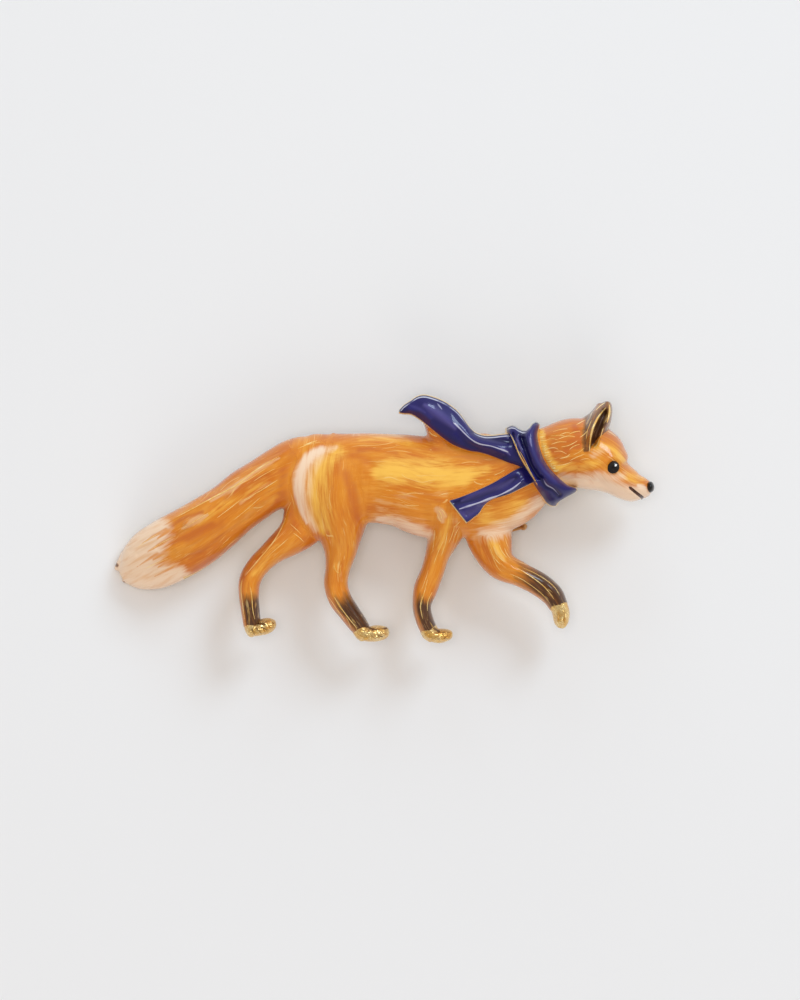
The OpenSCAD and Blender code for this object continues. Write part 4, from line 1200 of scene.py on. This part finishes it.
# %% Mix the fox's enamel
def fox_enamel():
    """Orange enamel with streaks, paints laid over it by their cover, and bare gilt."""
    finish = Finish("fox_enamel")
    streak = finish.flowing((0.30, 1.9, 1.0), 3.0)
    broad = finish.flowing((0.10, 0.45, 1.0), 2.0)
    fine = finish.flowing((0.5, 6.0, 1.0), 3.0)
    jitter = (streak - 0.5) * 1.2 + (fine - 0.5) * 0.6

    def laid(name, low, high, spread=0.9):
        cover = finish.stored(name)
        return (cover + jitter * cover.ramp(0.0, 0.3) * spread).ramp(low, high)

    cream = laid("cream", 0.05, 1.0)
    tip = laid("tip", 0.10, 0.75)
    dark = laid("dark", 0.45, 0.95, 1.0)
    colour = finish.layered(ORANGE, [
        (streak.ramp(0.40, 0.70) * 0.55, LIGHT_ORANGE),
        (broad.ramp(0.42, 0.66) * 0.85, DEEP_ORANGE),
        (fine.ramp(0.52, 0.72) * 0.55, LIGHT_ORANGE),
        (fine.ramp(0.46, 0.24) * 0.45, RUST_TONE_AND_SHADE),
        # rust enamel, and painted shade along the edges and in the hollows
        (laid("rust_and_shade", 0.20, 0.95) * 0.75, RUST_TONE_AND_SHADE),
        (laid("amber", 0.10, 0.95) * 0.95, AMBER_PAINT),
        # peach enamel, painted highlights, and painted light on the lower flank and belly
        (laid("peach_and_highlight", 0.20, 0.90, 1.1) * 0.85, PEACH_TONE_AND_HIGHLIGHT),
        (cream * 0.95, CREAM_PAINT),
        (tip, finish.blend(streak.ramp(0.45, 0.68) * 0.6, TIP_PAINT, PEACH_TONE_AND_HIGHLIGHT)),
        (laid("flames", 0.15, 1.0) * tip * 0.8, ORANGE),
        (laid("dark", 0.10, 0.60, 1.0) * 0.85, BRONZE_PAINT),
        (dark * 0.95, finish.blend(fine.ramp(0.45, 0.75), DARK_PAINT, BROWN_PAINT))])
    lines = hair_marks(finish) * (1 - cream.over(tip * 0.8))
    glints = streak.ramp(0.58, 0.66).over(fine.ramp(0.64, 0.70) * 0.7) * dark * 0.6
    rim = (finish.stored("gilt") + jitter * 0.4).ramp(0.35, 0.60)
    bare = rim.over(glints)
    metal = bare.over(lines * 0.8)
    colour = finish.layered(colour, [
        (bare, finish.blend(fine.ramp(0.4, 0.7), GILT_METAL, GILT_PALE)),
        (lines * 0.75, LINE_PAINT)])
    return finish.surface(
        Base_Color=colour, Metallic=bare, Roughness=0.42 - metal * 0.16, Specular_IOR_Level=0.15,
        Coat_Weight=(1 - rim) * 0.75, Coat_Roughness=0.07, Coat_IOR=1.46,
        Normal=finish.bump(streak * 0.6 + fine * 0.4 + metal * 0.5, 0.35, 0.06 * MM))


dress(fox_enamel(), body)
print("fox enamel:", len(body_mesh.materials[0].node_tree.nodes), "nodes")

# %% [markdown]
# ## The gilt
# Paws, thin lines and the clasp are gilt. Thin lines are bare metal only in part: enamel stains the rest of
# them pale gold. The hollows between the toes are painted brown as shade.

# %% Mix the gilt
LINE_TONES = shade(246, 190, 92), shade(255, 228, 156)
COPPERY = shade(208, 150, 96), shade(232, 186, 136)


def gilt(name, roughness=0.22, dents=6000.0, depth=0.02, bare=1.0, tones=(GILT_METAL, GILT_PALE)):
    """Bright gilt metal with a soft, uneven polish and small dents.

    Where a piece stores painted shade, it is painted brown.
    """
    finish = Finish(name)
    cloud = finish.noise(finish.place(), 900.0, 3.0, 0.6)
    grain = finish.noise(finish.place(), dents, 2.0, 0.6)
    painted_shade = (finish.stored("painted_shade") + (cloud - 0.5)).ramp(0.42, 0.82)
    colour = finish.blend(cloud.ramp(0.35, 0.7), *tones)
    return finish.surface(
        Base_Color=finish.blend(painted_shade * 0.9, colour, BROWN_PAINT), Metallic=bare,
        Roughness=cloud * 0.15 + roughness, Normal=finish.bump(grain, 1.0, depth * MM))


gilt_metal = gilt("bright_gilt", bare=0.25, tones=LINE_TONES)
dress(gilt_metal, hair_lines, ear_lines)
dress(gilt("clasp_gilt", roughness=0.26, tones=COPPERY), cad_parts["pin_clasp"])
print("gilt tones:", LINE_TONES)

# %% Paint shade between the toes and gild the paws
TOE_SHADES = [  # painted shade, brown in the hollows of the paws: reach, strength, line
    (0.35, 0.8, [(-15.0, -12.5), (-14.2, -12.6)]), (0.3, 0.7, [(-14.0, -12.3), (-13.1, -12.5)]),
    (0.35, 0.8, [(-2.0, -12.9), (-1.2, -13.2)]), (0.3, 0.7, [(-1.2, -13.3), (0.4, -13.1)]),
    (0.35, 0.8, [(6.1, -13.1), (6.7, -13.4)]), (0.3, 0.7, [(6.6, -13.6), (8.0, -13.6)])]
TOE_SPACING = 1.2  # toes of one paw lie closer than this
SHADED_TO = 20  # the far forepaw, beyond this x, has no painted shade
GAP_STRENGTH = 0.75


def toe_gaps(toes):
    """A short stroke of painted shade in each gap between two neighbouring toes of one paw."""
    gaps = []
    for one, other in zip(toes[:-1], toes[1:]):
        if math.dist(one[:2], other[:2]) < TOE_SPACING and one[0] < SHADED_TO:
            sides = [toe_rows(toe)[[0, 3], :2] for toe in (one, other)]
            reach = 0.20 + 0.08 * math.sin(9 * one[0])
            gaps.append((reach, GAP_STRENGTH, (sides[0] + sides[1]) / 2))
    return gaps


paws = put("gilt_paws", paw_mesh)
paw_points = read_points(paw_mesh)
store(paw_mesh, "painted_shade", strokes_on(paw_points[:, :2], toe_gaps(TOES) + TOE_SHADES))
write_points(paw_mesh, paw_points)
paw_mesh.shade_smooth()
dress(gilt("paw_gilt", roughness=0.18, dents=2200.0, depth=0.24, bare=0.78), paws)
print("gaps between toes:", len(toe_gaps(TOES)))

# %% [markdown]
# ## The scarf
# A scarf's ribbon lies between two edges, so it is drawn as one: each row pairs a point on its
# one edge with a point on the other, and a domed section with folds spans them. Three such
# ribbons make the wrap around the neck, the flying end and the hanging end.

# %% Span a ribbon between two edges
RIBBON_AROUND = 97
RIBBON_STEPS = 16
WAVE_FADE = 1.6  # the wave falls to a third over this length
FAR_OFF = 99.0  # stands for a rim or a line that a ribbon hasn't
FOLD_GAIN, FOLD_LOSS = 1.6, 0.3  # a fold counts in full but near the edges, where the dome is low


def strip_caps(rings, around):
    """Both ends of a ribbon, as strips from the upper points to the lower ones under them."""
    half = around // 2
    k = np.arange(1, half - 1)
    strips = np.column_stack([k, k + 1, around - k - 1, around - k]).tolist()
    strips += [[0, 1, around - 1], [half - 1, half, half + 1]]
    last = (rings - 1) * around
    return strips + [[last + corner for corner in reversed(strip)] for strip in strips]


def ribbon_grid(rows, folds, fullness):
    """Points of a ribbon: edge + share * (other edge - edge), and level + thickness * dome.

    The folds add height by their distance in the plane, less towards the edges. A flat
    underside of as many points closes the section.
    """
    path = smooth(rows, RIBBON_STEPS)
    share = 0.5 - 0.5 * np.cos(np.linspace(0, np.pi, RIBBON_AROUND))
    share = np.concatenate([share, share[-2:0:-1]])
    top = (np.arange(len(share)) < RIBBON_AROUND).astype(float)
    one, other = path[:, None, 0:2], path[:, None, 2:4]
    flat = one + share[:, None] * (other - one)
    arch = dome(2 * share - 1, fullness)
    fold = relief_on(flat.reshape(-1, 2), folds).reshape(flat.shape[:2])
    fold *= np.clip(arch * FOLD_GAIN - FOLD_LOSS, 0, 1)
    up = path[:, 4, None] + (path[:, 5, None] * arch + fold) * top
    return np.concatenate([flat, up[..., None]], axis=2), share, arch * top


# %% Make a ribbon into a piece
def ribbon(name, rows, folds, lines, ends, fullness, painted_rim_by=None, wave=None):
    """A ribbon piece that stores where its rims, ends, crests and painted highlight strokes lie.

    The ends say whether its first and its last end have a rim. The wave moves its first end along y, by the
    share across, and fades with the distance from it. A rim painted grey as a reflection, with a painted
    white highlight line inside it, lies by its first edge or by its first end.
    """
    grid, share, rise = ribbon_grid(rows, folds, fullness)
    rings, around = grid.shape[:2]
    if wave:
        fade = np.exp(-travelled(grid[:, RIBBON_AROUND // 2]) / WAVE_FADE)[:, None]
        grid[..., 1] += fade * np.interp(share, *zip(*wave))
    faces = closed_faces(rings, around)[:-2] + strip_caps(rings, around)
    made = outward(mesh_object(name, grid.reshape(-1, 3), faces))
    width = np.linalg.norm(grid[:, RIBBON_AROUND - 1, :2] - grid[:, 0, :2], axis=1)[:, None]
    edge = np.minimum(share, 1 - share) * width
    reach = travelled(grid)
    from_first, from_last = (0 if rimmed else FAR_OFF for rimmed in ends)
    end = np.minimum(reach + from_first, reach[-1] - reach + from_last)
    # how far a point lies from the side whose rim is painted grey as a reflection, where the painted white
    # highlight line lies
    inner = {"edge": np.where(share < 0.5, edge, FAR_OFF), "end": reach, None: edge + FAR_OFF}[painted_rim_by]
    flat = grid[..., :2].reshape(-1, 2)
    stored = {"edge": edge, "end": end, "inner": inner, "crest": relief_on(flat, folds),
              "line": strokes_on(flat, lines), "rise": np.tile(rise, (rings, 1))}
    for key, values in stored.items():
        store(made.data, key, values.ravel())
    return made


# %% The flying end: one edge, other edge, level of the back, thickness
FLYING = [
    (1.85, 12.95, 1.95, 12.6, 7.3, 0.9), (2.43, 13.64, 2.6, 12.5, 7.15, 1.5),
    (3.3, 14.22, 3.3, 12.45, 7.05, 1.85), (4.18, 14.78, 4.1, 12.02, 7.0, 1.95),
    (5.1, 14.9, 4.8, 11.5, 6.95, 2.05), (6.36, 14.56, 5.7, 10.75, 6.9, 2.15),
    (7.3, 14.15, 6.6, 10.0, 6.92, 2.25), (8.1, 13.65, 7.45, 9.35, 6.97, 2.35),
    (8.9, 13.0, 8.3, 8.8, 7.02, 2.42), (9.56, 12.19, 9.3, 8.36, 7.08, 2.45),
    (10.28, 11.17, 10.4, 8.02, 7.2, 2.42), (11.01, 10.44, 11.5, 7.85, 7.33, 2.37),
    (12.03, 10.08, 12.5, 7.58, 7.45, 2.3), (13.19, 10.08, 13.6, 7.17, 7.58, 2.3),
    (14.36, 10.22, 14.8, 6.68, 7.6, 2.2), (15.1, 10.2, 15.8, 6.3, 7.55, 2.1),
    (15.8, 9.7, 16.6, 5.95, 7.5, 2.05), (16.5, 9.1, 17.4, 5.6, 7.4, 2.0)]
FLYING_FOLDS = [  # width, height, line
    (0.75, 0.3, [(5.2, 13.4), (6.5, 12.5), (8.0, 11.5), (9.5, 10.3), (10.6, 9.5), (12.2, 8.9),
                 (14.2, 8.2)]),
    (0.45, -0.25, [(8.9, 10.4), (10.2, 9.0), (12.0, 8.3), (14.6, 7.4)]),
    (0.4, -0.25, [(10.6, 10.4), (12.4, 9.7), (15.0, 9.2)]),
    (0.35, 0.2, [(3.2, 13.1), (4.4, 12.9), (5.6, 12.0)])]
FLYING_HIGHLIGHTS = [  # painted highlights, soft sheen and thin pale streaks: reach, strength, line
    (0.22, 0.75, [(8.4, 11.5, 0.3), (8.83, 11.17, 0.9), (10.28, 9.71, 0.7), (11.45, 8.99, 0.9),
                  (12.9, 8.7, 0.6), (14.21, 8.26, 0.8), (14.9, 8.0, 0.3)]),
    (0.5, 0.4, [(14.0, 8.6, 0.4), (14.7, 8.1, 1.0), (15.2, 7.6, 0.3)]),
    (1.5, 0.36, [(5.0, 13.6, 0.4), (6.0, 13.0, 1.0), (7.2, 12.1, 0.9), (8.6, 10.8, 0.4)]),
    (0.22, 0.45, [(6.5, 13.8, 0.4), (6.75, 13.5, 1.0), (7.05, 13.1, 0.3)]),
    (0.8, 0.24, [(3.2, 13.6, 0.3), (4.2, 13.2, 1.0), (5.0, 12.7, 0.3)])]
flying_end = ribbon("scarf_flying", FLYING, FLYING_FOLDS, FLYING_HIGHLIGHTS, (True, False), 0.26, "edge")
print("flying end:", len(flying_end.data.vertices), "points")

# %% The hanging end
HANGING = [
    (17.6, 6.9, 18.7, 4.6, 6.6, 1.9), (16.6, 6.35, 17.6, 4.1, 7.5, 1.95),
    (15.6, 5.9, 16.5, 3.55, 8.1, 1.95), (14.4, 5.2, 15.2, 2.92, 8.3, 1.95),
    (13.2, 4.5, 14.0, 2.52, 8.4, 2.0), (12.2, 4.0, 13.0, 2.2, 8.45, 2.0),
    (11.2, 3.55, 12.1, 1.5, 8.45, 2.05), (10.2, 3.13, 11.5, 0.6, 8.45, 2.1),
    (9.3, 2.78, 10.9, 0.1, 8.45, 2.15), (8.5, 2.5, 10.4, -0.3, 8.45, 2.15),
    (7.95, 2.33, 10.05, -0.5, 8.45, 2.1), (7.78, 2.2, 9.95, -0.54, 8.45, 2.0)]
HANGING_FOLDS = [
    (0.26, 0.22, [(9.12, 1.21), (10.58, 1.72), (12.32, 2.3), (13.92, 2.88), (15.37, 3.61),
                  (16.83, 4.77)]),
    (0.35, -0.25, [(8.6, 1.9), (11.0, 2.6), (13.6, 3.7), (15.8, 4.9)]),
    (0.3, -0.22, [(10.0, 0.6), (11.6, 1.4), (13.2, 2.2)])]
# painted highlights: reach, strength, line
HANGING_HIGHLIGHTS = [
    (0.26, 0.8, [(9.12, 1.21, 0.3), (10.0, 1.5, 0.9), (11.4, 1.95, 0.5), (12.6, 2.4, 0.9),
                 (13.92, 2.88, 0.5), (15.37, 3.61, 0.9), (16.4, 4.4, 0.3)]),
    (1.5, 0.36, [(9.0, 0.9, 0.5), (9.8, 0.5, 1.0), (10.9, 1.1, 0.9), (12.4, 2.0, 0.6),
                 (13.4, 2.6, 0.3)]),
    (1.0, 0.34, [(9.4, 2.2, 0.4), (11.0, 2.9, 0.9), (13.0, 3.6, 0.8), (14.4, 4.1, 1.0),
                 (15.6, 4.8, 0.3)])]
hanging_end = ribbon("scarf_hanging", HANGING, HANGING_FOLDS, HANGING_HIGHLIGHTS, (False, True), 0.14)
print("hanging end:", len(hanging_end.data.vertices), "points")

# %% The wrap around the neck
WRAP = [
    (14.74, 10.98, 18.8, 11.22, 4.2, 4.6), (14.68, 10.75, 18.8, 11.08, 4.2, 5.3),
    (14.74, 10.2, 18.68, 10.6, 4.2, 5.85), (15.02, 9.5, 18.58, 9.9, 4.2, 6.25),
    (15.45, 8.6, 18.73, 8.95, 4.2, 6.5), (15.92, 7.6, 19.02, 7.97, 4.2, 6.6),
    (16.48, 6.5, 19.42, 7.0, 4.2, 6.6), (17.1, 5.4, 20.05, 6.05, 4.2, 6.58),
    (17.75, 4.35, 21.0, 5.08, 4.2, 6.45), (18.32, 3.48, 22.15, 4.12, 4.2, 6.1),
    (18.9, 2.7, 23.2, 3.7, 4.2, 5.4), (19.42, 1.96, 23.15, 3.28, 4.2, 4.6),
    (19.95, 1.58, 22.35, 2.84, 4.2, 3.8), (20.42, 1.48, 21.55, 2.54, 4.2, 3.0),
    (20.8, 1.56, 21.2, 2.16, 4.2, 2.2)]
WRAP_WAVE = [  # share across, how far its upper end moves along y
    (0.0, -0.05), (0.08, 0.12), (0.16, 0.2), (0.25, 0.12), (0.36, -0.22), (0.48, -0.46), (0.58, -0.48),
    (0.68, -0.18), (0.78, 0.3), (0.87, 0.48), (0.94, 0.36), (1.0, 0.1)]
WRAP_FOLDS = [
    (0.22, 0.3, [(15.08, 10.44), (15.52, 9.42), (16.25, 7.68), (17.26, 5.93), (17.99, 4.77),
                 (18.43, 4.04)]),
    (0.16, -0.35, [(15.5, 10.1), (15.95, 8.9), (16.65, 7.2), (17.4, 5.7), (18.1, 4.6)]),
    (0.22, 0.25, [(15.9, 9.3), (16.1, 8.41), (16.83, 7.1), (17.55, 5.64), (18.28, 4.48)]),
    (0.3, -0.45, [(16.5, 9.8), (16.97, 8.41), (17.7, 6.5), (18.6, 5.0)]),
    (0.6, 0.3, [(17.5, 10.6), (17.7, 9.4), (18.1, 7.6), (19.2, 5.8), (20.6, 4.4)]),
    (0.3, -0.35, [(18.9, 5.0), (19.45, 4.04), (20.32, 3.61), (21.04, 2.88)]),
    (0.4, -0.3, [(16.7, 10.9), (16.7, 9.9), (16.9, 8.9)])]
# painted highlights: reach, strength, line
WRAP_HIGHLIGHTS = [
    (0.45, 0.4, [(15.7, 10.0, 0.4), (16.2, 8.9, 1.0), (16.6, 7.9, 0.3)]),
    (0.35, 0.45, [(17.4, 9.9, 0.3), (17.55, 9.2, 1.0), (17.7, 8.6, 0.3)]),
    (0.3, 0.3, [(17.7, 7.2, 0.3), (17.95, 6.6, 1.0), (18.3, 6.0, 0.3)]),
    (0.24, 0.55, [(19.1, 4.8, 0.3), (19.5, 4.1, 0.9), (20.32, 3.61, 0.7), (21.0, 2.9, 0.3)])]
RIDGES = [  # its gilt ridges: width, height, line
    (0.2, 0.08, [(15.12, 10.3), (15.52, 9.42), (16.25, 7.68), (17.26, 5.93), (17.99, 4.77),
                 (18.5, 3.9)]),
    (0.12, 0.05, [(16.1, 8.41), (16.83, 7.1), (17.55, 5.64), (18.28, 4.48)])]
wrap = ribbon("scarf_wrapped", WRAP, WRAP_FOLDS, WRAP_HIGHLIGHTS, (True, True), 0.17, "end", WRAP_WAVE)
ridges = lines_piece("scarf_ridges", RIDGES, wrap)
dress(gilt_metal, ridges)
print("wrap:", len(wrap.data.vertices), "points")

# %% [markdown]
# ## The scarf's enamel
# Navy enamel, with painted shade in its folds and painted highlights along its crests, ends at a thin gilt
# rim that stands bare all around the ribbon. On its upper side the rim is painted grey as a reflection.

# %% Mix the scarf's enamel
NAVY = shade(32, 27, 98)
DEEP_NAVY = shade(18, 15, 62)
NAVY_HIGHLIGHT = shade(82, 76, 148)
GREY_RIM_REFLECTION = shade(196, 198, 196)
HIGHLIGHT_WHITE = shade(210, 210, 226)
LILAC_HIGHLIGHT = shade(124, 112, 184)
RIM_ENDS = 0.17, 0.08  # the enamel ends and the rim is all bare, in millimetres from the edge
RIM_HIGHLIGHT_AT = 0.34
GREY_ENDS = 1.2, 0.6  # the upper rim turns from gilt to the grey painted reflection between these


def scarf_enamel():
    """Navy enamel with random tone by noise, painted highlights on its crests, painted shade in its folds,
    gilt lower rims, upper rims painted grey as a reflection, and painted highlight lines.
    """
    finish = Finish("scarf_enamel")
    cloud = finish.noise(finish.place(), 500.0, 3.0, 0.5)
    crest, inner = finish.stored("crest"), finish.stored("inner")
    # where the rim is painted grey as a reflection of the pale surround: by the upper side, high on the
    # ribbon
    upper = inner.ramp(*GREY_ENDS) * finish.stored("rise").ramp(0.55, 0.8)
    rim = finish.stored("edge").ramp(*RIM_ENDS).over(finish.stored("end").ramp(*RIM_ENDS))
    # a painted white highlight line just inside the grey rim
    rim_highlight = inner.distance(RIM_HIGHLIGHT_AT).ramp(0.11, 0.02) * cloud.ramp(0.36, 0.60)
    # painted highlight strokes, lilac where they are soft and white where they are strong
    highlight_strokes = finish.stored("line").ramp(0.10, 0.80) * (cloud.ramp(0.15, 0.50) * 0.6 + 0.4) * (1 - rim)
    colour = finish.layered(NAVY, [
        (cloud.ramp(0.35, 0.7) * 0.4, DEEP_NAVY),
        # a painted highlight along the crests, and painted shade in the folds
        (crest.ramp(0.08, 0.40) * 0.26, NAVY_HIGHLIGHT),
        (crest.ramp(-0.02, -0.25) * 0.8, DEEP_NAVY),
        (rim_highlight * 0.8, HIGHLIGHT_WHITE),
        # the bare gilt rim, painted grey on its upper side as a reflection
        (rim, finish.blend(upper, GILT_PALE, GREY_RIM_REFLECTION)),
        (highlight_strokes * 0.85, finish.blend(highlight_strokes.ramp(0.25, 0.75), LILAC_HIGHLIGHT, HIGHLIGHT_WHITE))])
    return finish.surface(
        Base_Color=colour, Metallic=rim, Roughness=0.40 - rim * 0.10, Specular_IOR_Level=0.2,
        Coat_Weight=(1 - rim) * 0.7, Coat_Roughness=0.06, Coat_IOR=1.46,
        Normal=finish.bump(cloud, 0.2, 0.05 * MM))


dress(scarf_enamel(), flying_end, hanging_end, wrap)
print("navy, linear:", NAVY)

# %% [markdown]
# ## Eye, nose and mouth
# The eye is a polished black bead, the nose a black drop, and the mouth a thin dark line in a groove of the
# muzzle. The eye's own solid has the right shape, so it only needs its finish, with a painted white
# highlight on it.

# %% Black enamel
BLACK = shade(12, 9, 8), shade(30, 22, 18)
BROWN = shade(58, 34, 24), shade(92, 56, 40)
GLINT = (27.78 * MM, 6.42 * MM, 0.0)  # where the painted highlight, a white fleck, lies on the eye
GLINT_TURN = math.radians(-45)
GLINT_HALF = (0.17 * MM, 0.11 * MM)  # half its length and half its width
GLINT_WHITE = shade(250, 248, 244)


def painted_glint(finish, centre):
    """Where an oval painted highlight lies: 1 inside the oval, 0 outside."""
    gap = finish.vectors("SUBTRACT", finish.place(), centre)
    flat = finish.vectors("MULTIPLY", gap, (1.0, 1.0, 0.0))
    turned = finish.node("ShaderNodeVectorRotate", {"rotation_type": "Z_AXIS"},
                         {"Vector": flat, "Angle": GLINT_TURN})
    slim = finish.vectors("MULTIPLY", turned, (1 / GLINT_HALF[0], 1 / GLINT_HALF[1], 0.0))
    return finish.vectors("LENGTH", slim, output="Value").ramp(1.1, 0.85)


def dark_enamel(name, tones, roughness, glint=None):
    """Dark enamel of two tones, with a painted white highlight where a glint is given."""
    finish = Finish(name)
    cloud = finish.noise(finish.place(), 2500.0, 2.0, 0.5)
    colour = finish.blend(cloud.ramp(0.4, 0.7), *tones)
    if glint:
        colour = finish.blend(painted_glint(finish, glint), colour, GLINT_WHITE)
    return finish.surface(Base_Color=colour, Roughness=cloud * 0.1 + roughness, Specular_IOR_Level=0.3,
                          Coat_Weight=0.35, Coat_Roughness=0.04)


dress(dark_enamel("eye_black", BLACK, 0.08, GLINT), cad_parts["eye"])

# %% Nose and mouth
NOSE = [  # x, y, width, thickness, level of the back
    (31.86, 4.46, 0.3, 1.0, 5.3), (31.92, 4.28, 0.86, 1.7, 5.1), (31.98, 3.85, 1.12, 2.05, 5.0),
    (31.96, 3.42, 0.92, 1.7, 5.1), (31.92, 3.18, 0.3, 1.0, 5.3)]
MOUTH = [  # width, height, line
    (0.44, 0.07, [(29.27, 3.9), (29.6, 3.7), (30.19, 3.23), (30.87, 2.73), (31.2, 2.5)])]
nose = outward(mesh_object("nose_tip", *gathered([limb_grid(NOSE, steps=8, around=25)])))
mouth = lines_piece("mouth_line", MOUTH, body, both_ends=False)
dress(dark_enamel("nose_enamel", BLACK, 0.3), nose)
dress(dark_enamel("mouth_enamel", BROWN, 0.35), mouth)
print("nose:", len(nose.data.vertices), "points")


# %% Finish the table
def table_top():
    """Pale matt board with a faint, slow change of tone."""
    finish = Finish("table_top")
    cloud = finish.noise(finish.place(), 6.0, 2.0, 0.5)
    colour = finish.blend(cloud, shade(238, 238, 238), shade(235, 235, 236))
    return finish.surface(Base_Color=colour, Roughness=0.8, Specular_IOR_Level=0.2)


dress(table_top(), table)
print("table finish:", floor_mesh.materials[0].name)

# %% [markdown]
# ## Riding on the frame
# Every piece rides on the brooch's one body, and the solids of the fox and the scarf's three parts are
# hidden.

PIECES = {"fox_enamel": (body,), "gilt_clasp": (paws, hair_lines, ear_lines, ridges),
          "eye_bead": (nose, mouth), "scarf_enamel": (flying_end, hanging_end, wrap)}
for slot, pieces in PIECES.items():
    for piece in pieces:
        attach(piece, "root")
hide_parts("fox_body")
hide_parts("scarf_flying_end")
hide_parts("scarf_hanging_end")
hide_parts("scarf_wrap")
print("pieces:", {slot: len(pieces) for slot, pieces in PIECES.items()})
